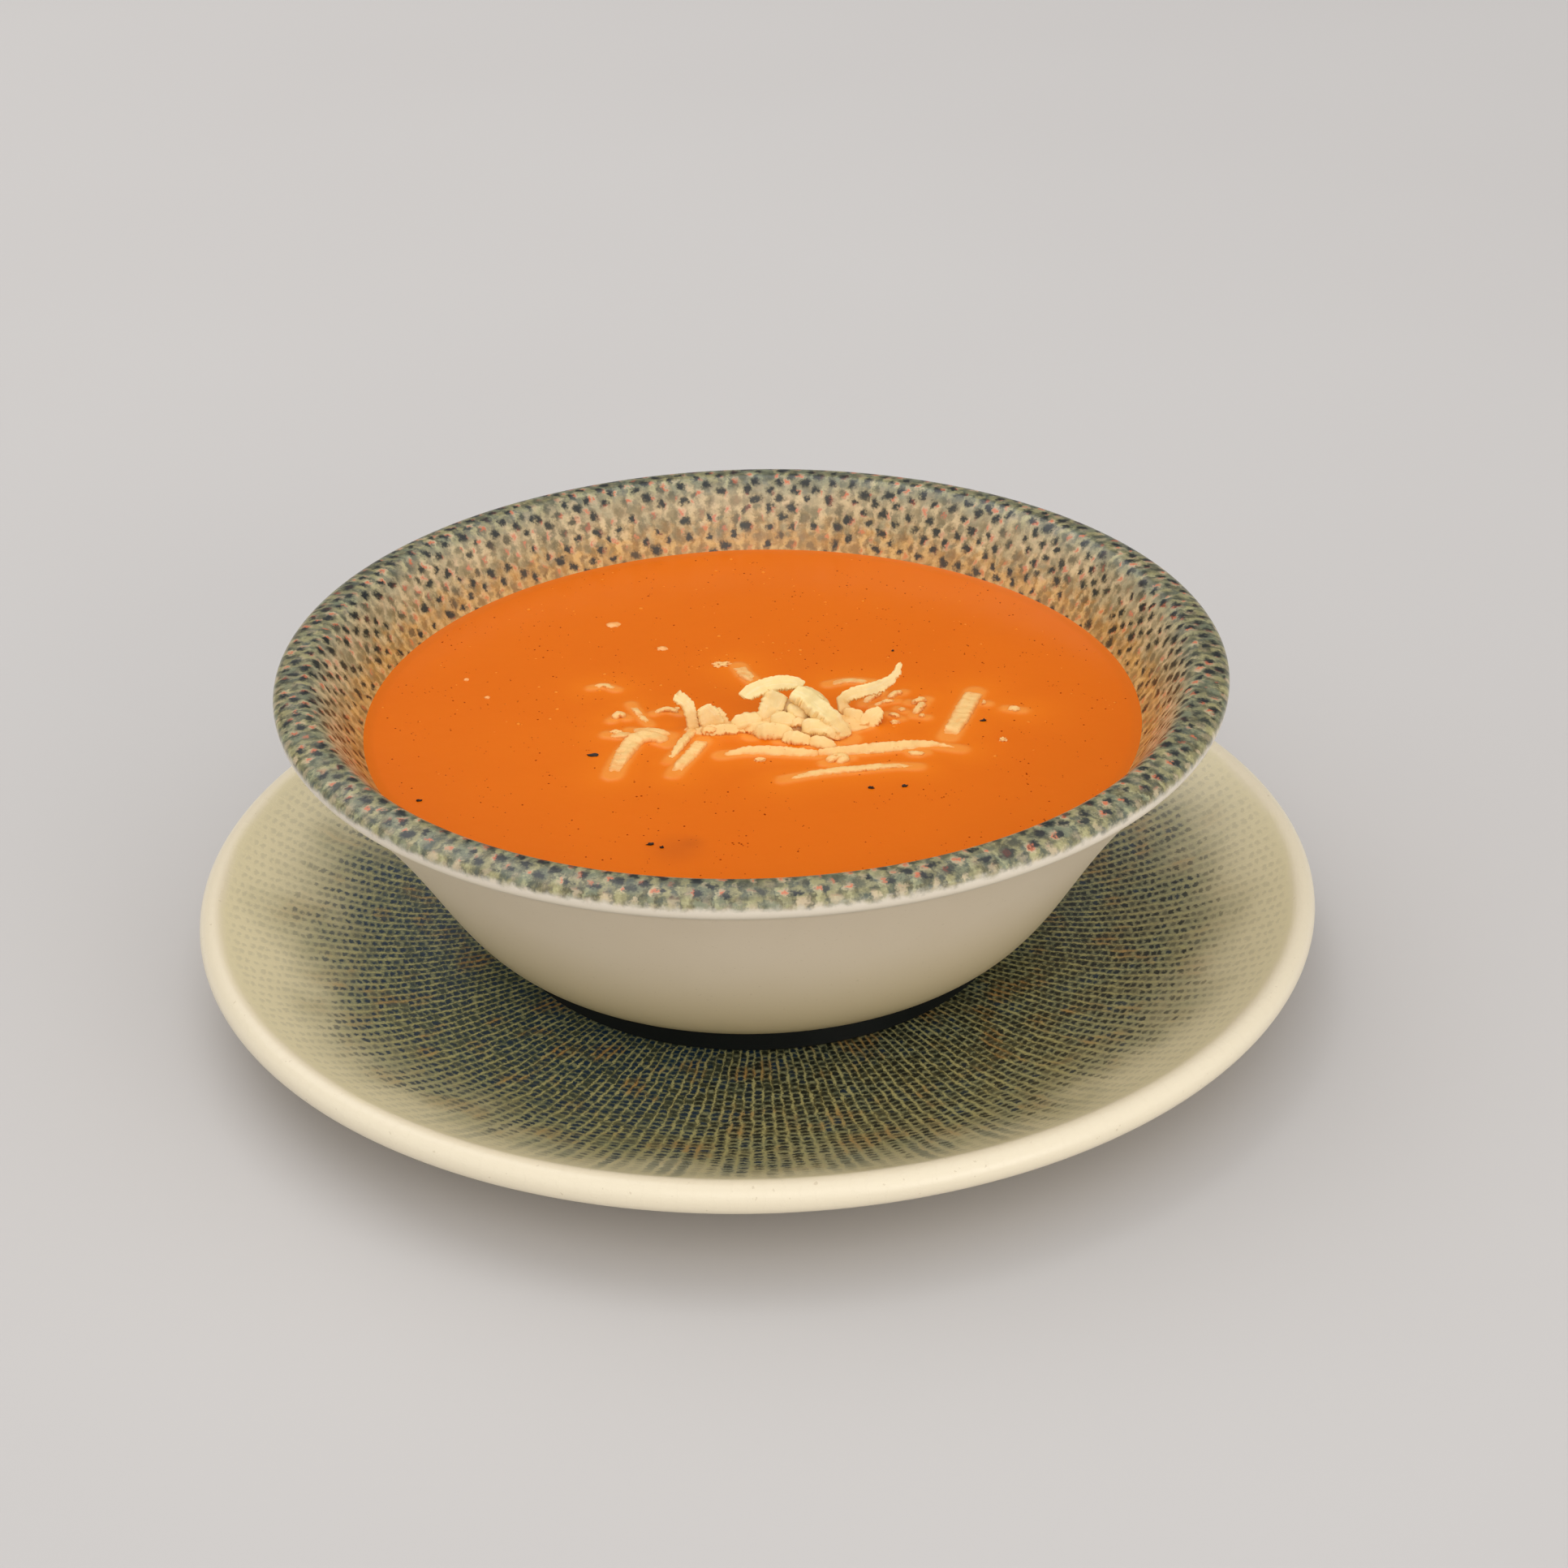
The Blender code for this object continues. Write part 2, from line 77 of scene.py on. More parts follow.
# Faces in one turn of the bowl and the plate, and steps down the bowl's wall
AROUND = 240
WALL_STEPS = 60

# Plate
PLATE_FLOOR_TOP = 8.0
PLATE_FLOOR_RADIUS = 57.1
PLATE_CURVE = 76.4
PLATE_END_SLOPE = 30.0
PLATE_THICKNESS = 4.7
PLATE_ROLL = 2.7
PLATE_FOOT_OUTER = 60.0
PLATE_FOOT_INNER = 53.0
PLATE_FOOT_EDGE = 0.6

# Bowl
BOWL_BASE = 8.3
RIM_RADIUS = 82.5
NOSE = (RIM_RADIUS, 59.0)
CREST = (77.3, 61.1)
LIP_UNDERSIDE = (80.3, 56.1)
NOSE_CONTROLS = ((81.7, 56.4), (RIM_RADIUS, 57.4))
LIP_CONTROLS = ((RIM_RADIUS, 60.3), (80.6, CREST[1]))
SHOULDER_CONTROLS = ((74.6, CREST[1]), (71.8, 54.7))
SHOULDER_START = 9
WALL_CONTROLS = ((59.0, 33.3), (58.25, 16.95))
WALL_FOOT = (46.1, 13.4)
WALL_THICKNESS = 5.2
FOOT_OUTER = 44.9
FOOT_INNER = 40.6
FOOT_EDGE = 0.4
RECESS_CEILING = 11.5
BOWL_FLOOR_TOP = 16.8
BOWL_FLOOR_FLAT = 30.0

# Soup
SOUP_LEVEL = 49.2
SOUP_EDGE = 68.0
SOUP_GAP = 0.3
SOUP_OVERLAP = 0.1
MENISCUS_RISE = 0.3
MENISCUS_WIDTH = 2.0
SOUP_AROUND = 512
FINE_RING = 0.42
FINE_RINGS = 100
COARSE_RINGS = 25
RISE_RINGS = 8

# How the soup swells and shines by a strip: widths from its edge, which is a share of its width out
STRIP_REACH = 0.42
WET_SWELL = 0.12
WET_WIDTH = 0.6
VEIL_SWELL = 0.04
VEIL_WIDTH = 0.95
GLOW_WIDTH = 4.5

# Prints: columns in one turn, the distance between two rows, how far spots stray from their places,
# and where the coral dashes and the dark blots lie, in columns and rows
KNIT_COLUMNS = 100
KNIT_ROW = 1.75
KNIT_FIRST_ROW = 1.6
KNIT_JITTER = 0.22
DASH_PLACE = (0.9, 0.1)
BLOT_PLACE = (0.07, 0.0)
STREAKS_EACH = 8.0
WEAVE_COLUMNS = 216
WEAVE_ROW = 1.38
WEAVE_PACKING = 1.2

# The knit print's layers from the lowest up: each one's tint on the lip, on the wall and near the soup
KNIT_TINTS = {
    "ground": ((88, 82, 53), (154, 130, 82), (182, 136, 64)),
    "haze": ((86, 94, 78), (130, 122, 84), (170, 118, 50)),
    "slate": ((72, 82, 84), (134, 130, 102), (196, 148, 84)),
    "streaks": ((150, 142, 100), (196, 168, 118), (206, 164, 98)),
    "scales": ((162, 153, 106), (216, 192, 142), (220, 178, 108)),
    "tinge": ((112, 120, 98), (160, 150, 112), (198, 150, 82)),
    "pale_grains": ((188, 178, 132), (218, 190, 144), (224, 186, 126)),
    "dark_grains": ((70, 82, 74), (130, 120, 84), (148, 108, 54)),
    "crest": ((206, 196, 164), (214, 196, 160), (216, 184, 132)),
    "thread": ((196, 190, 142), (216, 188, 142), (216, 176, 116)),
    "gaps": ((58, 72, 70), (108, 104, 74), (132, 104, 54)),
    "pale": ((216, 192, 156), (224, 190, 152), (222, 182, 124)),
    "halo": ((58, 64, 50), (112, 100, 62), (128, 92, 44)),
    "dashes": ((198, 104, 66), (202, 122, 88), (204, 122, 62)),
    "blots": ((18, 23, 25), (30, 30, 20), (42, 33, 18)),
}

# Grated strips: corners are (x, y, height over the soup), then width and thickness, the share of the
# width left at either end, and the way that the broad side looks
FRONT = (0.0, -0.6, 0.8)
UP = (0.0, 0.0, 1.0)
HEAP_STRIPS = (
    # arched strip on top, its left end hanging
    (((-1.6, -3.9, 4.6), (-0.4, -3.0, 5.8), (3.2, -1.8, 6.7), (7.2, -1.0, 6.5), (9.2, -1.0, 5.2)),
     (2.7, 1.0), (0.9, 0.7), (-0.2, -0.7, 0.7)),
    # broad strip that stands under the arch
    (((4.8, -2.2, 6.0), (3.7, -3.4, 4.0), (2.6, -4.8, 1.8), (2.2, -5.4, -0.4)),
     (4.2, 1.1), (0.8, 0.8), (0.2, -1.0, 0.3)),
    (((4.8, -4.2, 3.4), (4.5, -5.6, 1.6), (4.0, -6.4, -0.4)), (1.7, 0.8), (0.7, 0.7), FRONT),
    # thick strip that leans down to the right, and the thin one behind it
    (((6.6, -2.4, 5.6), (9.4, -4.1, 4.7), (12.2, -6.2, 3.1), (14.6, -8.4, 1.4), (16.4, -10.2, -0.3)),
     (4.4, 2.0), (0.7, 0.5), (0.5, -0.4, 0.8)),
    (((7.6, -0.6, 5.4), (10.2, -1.2, 4.9), (12.4, -2.4, 3.6), (13.8, -4.2, 1.6)),
     (1.9, 0.9), (0.5, 0.6), (0.5, 0.2, 0.8)),
    # curled strip that stands on the left
    (((-10.2, -5.6, -0.5), (-10.5, -4.9, 2.6), (-11.7, -4.4, 5.0), (-13.7, -4.0, 6.8)),
     (2.2, 0.9), (0.8, 0.9), (0.3, -0.9, 0.5)),
    # jagged flakes beside it
    (((-6.4, -5.6, -0.5), (-7.4, -5.2, 2.2), (-8.9, -4.8, 4.8)), (4.0, 1.2), (1.0, 0.35), (0.1, -1.0, 0.4)),
    (((-4.6, -5.0, -0.4), (-5.7, -4.4, 1.8), (-6.9, -3.9, 3.9)), (2.4, 0.9), (1.0, 0.5), (0.1, -1.0, 0.4)),
    (((-10.6, -6.3, 0.0), (-5.4, -6.7, 0.5), (0.0, -6.0, 0.3)), (2.0, 1.4), (0.5, 0.7), FRONT),
    # thin curled strip that rises to a point on the right
    (((16.6, -1.6, -0.5), (15.8, -0.6, 2.2), (17.4, -0.2, 3.6), (21.0, 0.1, 4.3),
      (23.6, 0.9, 5.1), (25.3, 1.7, 6.4), (26.2, 3.2, 8.4)), (2.2, 0.9), (0.8, 0.12), (0.2, -0.8, 0.6)),
    (((15.6, -1.8, 0.2), (17.6, -3.2, 1.0), (19.8, -4.8, 0.4)), (2.4, 1.2), (0.7, 0.7), FRONT),
    (((19.0, -5.8, -0.5), (20.6, -4.6, 0.9), (22.8, -2.8, 2.2)), (3.2, 1.0), (0.9, 0.3), FRONT),
    # narrow strip that runs out of the left side
    (((-10.4, -6.2, 0.0), (-12.0, -10.2, 0.5), (-13.3, -13.4, 0.2), (-14.7, -16.6, -0.5)),
     (1.4, 1.0), (0.8, 0.3), UP),
)
# Soft lumps and torn bits at the foot of the heap
HEAP_LUMPS = (
    (((-4.2, -5.6, 0.4), (-1.2, -5.4, 1.4), (2.2, -5.2, 1.6)), (3.2, 2.2), (0.5, 0.8), FRONT),
    (((-1.4, -6.6, 0.2), (1.4, -6.8, 0.8), (4.4, -6.4, 0.6)), (2.4, 1.6), (0.4, 0.6), FRONT),
    (((-0.2, -8.2, 0.2), (3.2, -8.5, 1.0), (7.4, -9.0, 0.6)), (3.2, 2.0), (0.3, 0.6), FRONT),
    (((2.6, -6.6, 1.4), (5.2, -6.4, 2.1), (8.2, -6.6, 1.6)), (2.8, 1.8), (0.5, 0.6), (0.1, -0.8, 0.6)),
    (((8.0, -8.2, 0.8), (10.6, -8.6, 1.6), (13.0, -9.4, 1.2), (14.4, -11.0, 0.2)), (3.4, 2.2),
     (0.5, 0.5), (0.2, -0.6, 0.8)),
    (((4.6, -10.0, 0.2), (7.2, -10.8, 0.8), (10.4, -11.8, 0.4)), (2.6, 1.6), (0.4, 0.6), FRONT),
    (((9.2, -11.2, 0.3), (11.6, -12.4, 0.6), (14.6, -13.6, 0.1)), (2.4, 1.5), (0.5, 0.4), FRONT),
    (((11.6, -7.0, 0.8), (14.6, -7.6, 1.0), (17.4, -7.2, 0.2)), (2.6, 1.6), (0.6, 0.4), FRONT),
    (((5.6, -4.4, 2.4), (7.6, -4.8, 2.8), (10.0, -6.0, 1.8)), (3.0, 2.0), (0.6, 0.6), FRONT),
)

# Long strips in front of the heap, half sunk
HEAP_FRONT = (
    (((-5.6, -15.0, -0.6), (-0.6, -14.2, 0.1), (5.6, -14.9, 0.2), (11.6, -15.8, -0.1)), (2.4, 1.5),
     (0.3, 0.6), FRONT),
    (((10.4, -15.4, 0.0), (17.0, -15.2, 0.3), (24.0, -14.2, 0.3), (30.2, -13.4, -0.1),
      (35.6, -15.0, -0.7)), (2.4, 1.5), (0.6, 0.25), FRONT),
    (((13.4, -15.6, 0.0), (15.0, -17.4, 0.3), (13.6, -19.2, -0.3)), (2.6, 1.3), (0.8, 0.6), UP),
)
# Low lumps that fill the heap under its strips, as (middle, half sizes)
HEAP_CORE = (((5.4, -5.0, -0.5), (7.4, 3.2, 2.6)), ((14.2, -5.0, -0.5), (6.4, 3.2, 1.6)),
             ((-6.0, -5.7, -0.6), (6.4, 1.8, 1.7)), ((7.0, -2.6, 0.4), (3.6, 1.5, 3.4)))

# Strips and flakes that lie apart, each half sunk in the soup
LONE_STRIPS = {
    "cheese_fold_left": (
        (((-14.6, -9.8, -0.1), (-17.2, -8.0, 0.8), (-20.0, -8.6, 0.8), (-21.9, -12.6, 0.2),
          (-23.2, -17.0, -0.2), (-24.0, -20.8, -0.6)), (3.5, 1.5), (0.6, 0.45), UP),
        (((-21.4, -5.0, 0.0), (-17.6, -5.6, 0.7), (-14.0, -7.4, 0.2)), (1.9, 1.1), (0.4, 0.5), UP),
        (((-25.2, -6.2, -0.3), (-23.0, -6.8, 0.2), (-20.6, -6.8, 0.5)), (2.2, 1.0), (0.5, 0.7), UP)),
    "cheese_strip_left": (
        (((-8.6, -9.3, 0.2), (-10.1, -13.2, 0.2), (-12.2, -17.6, -0.2), (-13.7, -21.2, -0.7)),
         (2.7, 1.5), (0.8, 0.6), UP),),
    "cheese_strip_right": (
        (((39.4, 6.0, 0.0), (37.6, 0.8, 0.2), (35.6, -5.2, 0.1), (33.7, -10.4, -0.5)),
         (3.6, 1.5), (0.8, 0.7), UP),),
    "cheese_strip_front": (
        (((4.8, -24.2, -0.6), (11.0, -22.3, 0.1), (17.6, -21.4, 0.2), (23.4, -20.6, 0.1),
          (28.0, -20.8, -0.6)), (2.0, 1.3), (0.3, 0.3), UP),),
    "cheese_flake_back": ((((-2.3, 18.6, 0.0), (-1.3, 15.6, 0.3), (0.6, 12.0, 0.0)), (2.7, 1.1),
                           (0.7, 0.5), UP),),
    "cheese_flake_right": ((((13.6, 10.6, -0.2), (17.4, 11.6, 0.1), (21.6, 10.8, -0.2)), (2.0, 1.0),
                            (0.4, 0.4), UP),),
    "cheese_sliver_left": ((((-21.4, 5.0, -0.3), (-19.8, 0.8, 0.0), (-18.0, -3.0, -0.3)), (1.4, 1.0),
                            (0.5, 0.6), UP),),
}

# Small shreds that lie in the soup round the heap, in the same terms as the strips
SHREDS = (
    (((19.4, 2.6, 0.0), (21.4, 5.0, 0.4), (23.2, 6.6, 0.2)), (1.3, 0.8), (0.5, 0.3), UP),
    (((23.6, 4.2, 0.1), (25.2, 5.6, 0.5), (26.9, 6.8, 0.3)), (1.2, 0.8), (0.6, 0.4), UP),
    (((21.0, 1.6, 0.0), (23.4, 3.0, 0.3), (25.6, 3.4, 0.0)), (0.9, 0.7), (0.5, 0.4), UP),
    (((27.6, 2.7, 0.1), (29.2, 2.4, 0.6), (30.8, 3.8, 0.4)), (1.5, 0.9), (0.7, 0.5), UP),
    (((28.0, -2.2, 0.1), (29.1, -0.2, 0.6), (30.2, 2.4, 0.3)), (1.4, 0.8), (0.5, 0.5), UP),
    (((28.6, -2.4, 0.2), (30.4, -3.0, 0.2)), (1.1, 0.8), (0.6, 0.6), UP),
    (((18.0, -4.8, 0.0), (19.4, -5.4, 0.5), (20.9, -3.5, 0.4)), (1.4, 0.9), (0.7, 0.4), UP),
    (((23.6, -1.3, 0.0), (24.8, -2.4, 0.4), (26.0, -3.2, 0.1)), (1.0, 0.7), (0.5, 0.5), UP),
    (((25.4, 0.7, 0.1), (27.0, -0.8, 0.3)), (0.9, 0.7), (0.6, 0.5), UP),
    (((-24.6, -1.0, 0.1), (-23.3, 0.6, 0.5), (-21.9, -0.3, 0.2)), (1.5, 0.9), (0.8, 0.5), UP),
    (((-17.5, 1.1, 0.1), (-15.0, 2.1, 0.4), (-12.7, 0.9, 0.3)), (1.1, 0.8), (0.3, 0.5), UP),
    (((-28.5, 11.7, -0.2), (-26.3, 12.3, 0.2), (-24.1, 10.8, -0.1)), (1.4, 0.7), (0.4, 0.5), UP),
    (((26.2, -15.0, -0.1), (27.6, -16.5, 0.2), (29.6, -15.8, 0.0)), (1.2, 0.7), (0.5, 0.5), UP),
    (((44.4, -0.5, 0.0), (45.8, -1.0, 0.3), (47.3, -1.4, 0.0)), (1.6, 0.8), (0.6, 0.6), UP),
    (((40.0, 1.9, 0.1), (41.4, 1.5, 0.3)), (1.3, 0.8), (0.7, 0.6), UP),
    (((12.1, -18.8, 0.0), (13.9, -17.4, 0.5), (16.7, -16.8, 0.3)), (1.7, 0.9), (0.6, 0.7), UP),
    (((-2.0, -6.6, 0.6), (0.6, -7.2, 1.0), (2.8, -6.8, 0.6)), (1.6, 1.0), (0.5, 0.6), FRONT),
    (((6.0, -7.0, 1.6), (8.0, -7.4, 2.2), (10.0, -7.0, 1.6)), (1.6, 1.0), (0.6, 0.5), FRONT),
    (((-9.4, -6.8, 0.4), (-7.6, -7.2, 1.0), (-5.8, -6.9, 0.6)), (1.3, 0.9), (0.5, 0.6), FRONT),
    (((11.4, -8.4, 0.8), (13.6, -9.6, 1.0), (15.2, -11.4, 0.4)), (1.4, 0.9), (0.6, 0.5), FRONT),
)

# What is smaller still: crumbs as (x, y, half length, half width), pepper and bubbles as (x, y, half length)
CRUMBS = (
    (-5.4, 19.5, 1.6, 0.9), (1.1, -17.1, 1.0, 0.5), (43.0, -12.2, 0.7, 0.5), (-23.8, -5.6, 1.1, 0.6),
    (24.8, -4.6, 0.9, 0.5), (-13.4, 2.4, 0.7, 0.4),
)
PEPPER = ((-27.5, -13.6, 0.95), (25.1, -27.6, 0.5), (19.6, -27.9, 0.45), (-17.3, -44.8, 0.55),
          (40.1, -4.9, 0.5), (-56.3, -28.0, 0.45), (-15.4, -46.0, 0.3), (25.7, 23.1, 0.25))
BUBBLES = ((-25.3, 37.0, 1.3), (-16.1, 26.6, 1.0), (-51.1, 16.2, 0.5), (-47.0, 9.0, 0.5))
# Faint darker places in the soup, as (x, y, reach, strength)
SMUDGES = ((-13.0, -46.5, 7.0, 0.3), (-10.5, -44.5, 3.0, 0.25))
CRUMB_HEIGHT = 0.55
SPECK_HEIGHT = 0.3
SPRINKLE_REACH = 66.0

# Every strip: the way between two stations, the faces round it, its twist and what is merged at its ends
STRIP_STEP = 0.22
STRIP_SIDES = 16
STRIP_TWIST = 0.9
STRIP_MERGE = 0.004 * MM

# All the cheese: the crease that stays sharp, how far the core is soaked, which also paints the orange light
# in the heap's shade, and the tint of what is soaked
CHEESE_CREASE = 50.0
CORE_SOAK_AND_GLOW = 0.35
SOAKED_TINT = (236, 146, 58)

# How deep the fine relief of each finish goes
KNIT_RELIEF = 0.07
WEAVE_RELIEF = 0.06
CHEESE_RELIEF = 0.12
SOUP_RELIEF = 0.2

# How strips are made: soak, raggedness, torn ends, lumpiness, softness of the section, lift over the
# soup, and the share of the heights that is kept
CUT_STRIP = (0.08, 0.9, 1.2, 0.3, 0.0, 0.0, 1.0)
SOFT_LUMP = (0.15, 0.7, 0.8, 0.4, 0.45, 0.0, 1.0)
HALF_SUNK = (0.55, 0.9, 0.9, 0.2, 0.35, -0.05, 0.7)
FLOATING = (0.65, 0.7, 0.9, 0.15, 0.35, -0.2, 0.35)
SHREDDED = (0.6, 1.0, 0.9, 0.4, 0.5, -0.1, 1.0)


def tint(red, green, blue):
    """A colour given as the eye reads it, from 0 to 255, in the light's own scale."""
    shares = [value / 255.0 for value in (red, green, blue)]
    return tuple(s / 12.92 if s <= 0.04045 else ((s + 0.055) / 1.055) ** 2.4 for s in shares) + (1.0,)


class Flow:
    """A value that runs through a node tree, so that shapes and prints can be written as sums."""

    def __init__(self, desk, socket):
        self.desk = desk
        self.socket = socket

    def __add__(self, other):
        return self.desk.sum("ADD", self, other)

    def __sub__(self, other):
        return self.desk.sum("SUBTRACT", self, other)

    def __rsub__(self, other):
        return self.desk.sum("SUBTRACT", other, self)

    def __mul__(self, other):
        return self.desk.product(self, other)

    def __rmul__(self, other):
        return self.desk.product(self, other)

    def __truediv__(self, other):
        return self.desk.sum("DIVIDE", self, other)

    def __pow__(self, other):
        return self.desk.sum("POWER", self, other)

    def __mod__(self, other):
        return self.desk.sum("FLOORED_MODULO", self, other)

    def __abs__(self):
        return self.desk.sum("ABSOLUTE", self)


class Desk:
    """Adds nodes to a tree and joins them up."""

    def __init__(self, tree):
        self.tree = tree

    def add(self, kind, values=None, out=0, **settings):
        """One node; values maps its inputs to numbers or flows, and out picks what it gives."""
        node = self.tree.nodes.new(kind)
        for name, setting in settings.items():
            setattr(node, name, setting)
        for name, value in (values or {}).items():
            self.feed(node.inputs[name], value)
        return Flow(self, node.outputs[out]) if out is not None else node

    def feed(self, socket, value):
        if isinstance(value, Flow):
            self.tree.links.new(value.socket, socket)
        else:
            socket.default_value = value

    def other(self, flow, out):
        """Another output of the node that a flow comes from."""
        return Flow(self, flow.socket.node.outputs[out])

    def sum(self, operation, *parts):
        vector = any(self.is_vector(part) for part in parts)
        kind = "ShaderNodeVectorMath" if vector else "ShaderNodeMath"
        return self.add(kind, dict(enumerate(parts)), operation=operation)

    def product(self, first, second):
        if self.is_vector(first) != self.is_vector(second):
            vector, number = (first, second) if self.is_vector(first) else (second, first)
            return self.add("ShaderNodeVectorMath", {0: vector, "Scale": number}, operation="SCALE")
        return self.sum("MULTIPLY", first, second)

    @staticmethod
    def is_vector(value):
        return value.socket.type == "VECTOR" if isinstance(value, Flow) else isinstance(value, tuple)

    def most(self, first, second):
        return self.sum("MAXIMUM", first, second)

    def least(self, first, second):
        return self.sum("MINIMUM", first, second)

    def span(self, x, y):
        """How far the point (x, y) is from (0, 0)."""
        return self.sum("SQRT", x * x + y * y)

    def split(self, vector):
        parts = self.add("ShaderNodeSeparateXYZ", {0: vector})
        return parts, self.other(parts, 1), self.other(parts, 2)

    def join(self, x, y, z):
        return self.add("ShaderNodeCombineXYZ", {0: x, 1: y, 2: z})

    def rise(self, value, low, high):
        """0 below low and 1 above high, with a smooth way between; low may be the greater."""
        return self.add("ShaderNodeMapRange", {0: value, 1: low, 2: high}, interpolation_type="SMOOTHSTEP")

    def blend(self, share, first, second):
        """A colour between two colours."""
        return self.add("ShaderNodeMix", {0: share, 6: first, 7: second}, out=2, data_type="RGBA")

    def mixed(self, share, first, second):
        """A colour between two tints."""
        return self.blend(share, tint(*first), tint(*second))

    def coated(self, colour, *layers):
        """A colour with layers over it: each one's share of the colour, and its tint or flow."""
        for share, coat in layers:
            colour = self.blend(share, colour, coat if isinstance(coat, Flow) else tint(*coat))
        return colour

    def between(self, share, first, second):
        """A number between two numbers."""
        return self.add("ShaderNodeMix", {0: share, 2: first, 3: second}, data_type="FLOAT")

    def cloud(self, place, scale, detail=2.0, rough=0.5):
        """Soft noise about 0.5."""
        return self.add("ShaderNodeTexNoise", {"Vector": place, "Scale": scale, "Detail": detail,
                                               "Roughness": rough})

    def drift(self, place, scale, detail=1.0):
        """Three soft noises about 0, as a vector."""
        noisy = self.add("ShaderNodeTexNoise", {"Vector": place, "Scale": scale, "Detail": detail}, out=1)
        return noisy - (0.5, 0.5, 0.5)

    def dice(self, x, y, seed):
        """Three random shares for each whole x and y."""
        place = self.join(x, y, seed)
        return self.split(self.add("ShaderNodeTexWhiteNoise", {"Vector": place}, out="Color"))

    def sheet(self, columns, rows):
        """A flat sheet of points for a tree to bend, and each point's share of the way along both sides."""
        grid = self.add("GeometryNodeMeshGrid", {"Size X": 1.0, "Size Y": 1.0, "Vertices X": columns,
                                                 "Vertices Y": rows}, out="Mesh")
        across, along, _ = self.split(self.add("GeometryNodeInputPosition"))
        return grid, across + 0.5, along + 0.5

    def marked(self, geometry, name, value, kind, domain):
        """The geometry with a value kept on each of its points or corners."""
        return self.add("GeometryNodeStoreNamedAttribute", {"Geometry": geometry, "Name": name,
                                                            "Value": value}, data_type=kind, domain=domain)


class Finish(Desk):
    """A material with one Principled shader."""

    def __init__(self, name, **constants):
        self.material = bpy.data.materials.new(name)
        self.material.use_nodes = True
        super().__init__(self.material.node_tree)
        self.shader = self.tree.nodes["Principled BSDF"]
        self.set(**constants)

    def set(self, **values):
        """Sets the shader's sockets; an underscore in a name stands for a space."""
        for name, value in values.items():
            self.feed(self.shader.inputs[name.replace("_", " ")], value)

    def spot(self):
        """Where a point of the piece is, in millimetres."""
        return self.add("ShaderNodeTexCoord", out="Object") * PER_METRE

    def map(self, name):
        """The piece's own map: its two values."""
        u, v, _ = self.split(self.add("ShaderNodeUVMap", uv_map=name))
        return u, v

    def mark(self, name):
        """A value that the piece keeps on its points."""
        return self.add("ShaderNodeAttribute", out="Fac", attribute_name=name)

    def bump(self, height, relief, strength):
        """Fine relief, from a height of 0 to 1 and its depth in millimetres."""
        raised = self.add("ShaderNodeBump",
                          {"Height": height, "Distance": relief * MM, "Strength": strength})
        self.feed(self.shader.inputs["Normal"], raised)


def placed(name, data):
    """A new object in the scene for a mesh, curve, lamp or camera."""
    thing = bpy.data.objects.new(name, data)
    bpy.context.scene.collection.objects.link(thing)
    return thing


def mesh_from(name, build, materials):
    """The mesh of a bmesh, which is then freed."""
    mesh = bpy.data.meshes.new(name)
    for material in materials:
        mesh.materials.append(material)
    build.to_mesh(mesh)
    build.free()
    return mesh


def new_tree(name, inputs):
    """An empty Geometry Nodes tree with named inputs, its desk and the flows of the inputs."""
    tree = bpy.data.node_groups.new(name, "GeometryNodeTree")
    tree.is_modifier = True
    tree.interface.new_socket(name="Geometry", in_out="OUTPUT", socket_type="NodeSocketGeometry")
    for title, kind in inputs.items():
        tree.interface.new_socket(name=title, in_out="INPUT", socket_type="NodeSocket" + kind)
    desk = Desk(tree)
    group = tree.nodes.new("NodeGroupInput")
    return tree, desk, {title: Flow(desk, group.outputs[title]) for title in inputs}


def end_tree(desk, geometry, finish):
    """Closes a tree: real meshes with their finish."""
    real = desk.add("GeometryNodeRealizeInstances", {0: geometry})
    painted = desk.add("GeometryNodeSetMaterial", {"Geometry": real, "Material": finish})
    desk.add("NodeGroupOutput", {"Geometry": painted}, out=None)


def grown(tree, name, **values):
    """Runs a tree with these values for its inputs and gives the plain mesh that comes out."""
    holder = placed(name, bpy.data.meshes.new(name))
    change = holder.modifiers.new("grow", "NODES")
    change.node_group = tree
    sockets = {item.name: item.identifier for item in tree.interface.items_tree if item.in_out == "INPUT"}
    for title, value in values.items():
        change[sockets[title.replace("_", " ")]] = value
    graph = bpy.context.evaluated_depsgraph_get()
    mesh = bpy.data.meshes.new_from_object(holder.evaluated_get(graph), depsgraph=graph)
    bpy.data.objects.remove(holder)
    return mesh


def outline_curve(name, points):
    """A poly curve through points in metres, for a tree to read."""
    curve = bpy.data.curves.new(name, "CURVE")
    curve.dimensions = "3D"
    spline = curve.splines.new("POLY")
    spline.points.add(len(points) - 1)
    for place, point in zip(spline.points, points):
        place.co = (*point, 1.0)
    return placed(name, curve)


def mend(mesh, merge=0.002 * MM):
    """Merges what lies on top of each other and turns the faces outwards."""
    build = bmesh.new()
    build.from_mesh(mesh)
    bmesh.ops.remove_doubles(build, verts=build.verts[:], dist=merge)
    bmesh.ops.dissolve_degenerate(build, edges=build.edges[:], dist=0.1 * merge)
    bmesh.ops.recalc_face_normals(build, faces=build.faces[:])
    build.to_mesh(mesh)
    build.free()
    return mesh


def set_out(name, mesh, nodes, crease=40.0):
    """Puts a finished piece on the table in place of the solids that it stands for."""
    mesh.shade_smooth()
    mesh.set_sharp_from_angle(angle=math.radians(crease))
    piece = placed(name, mesh)
    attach(piece, "root")
    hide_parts(*nodes)


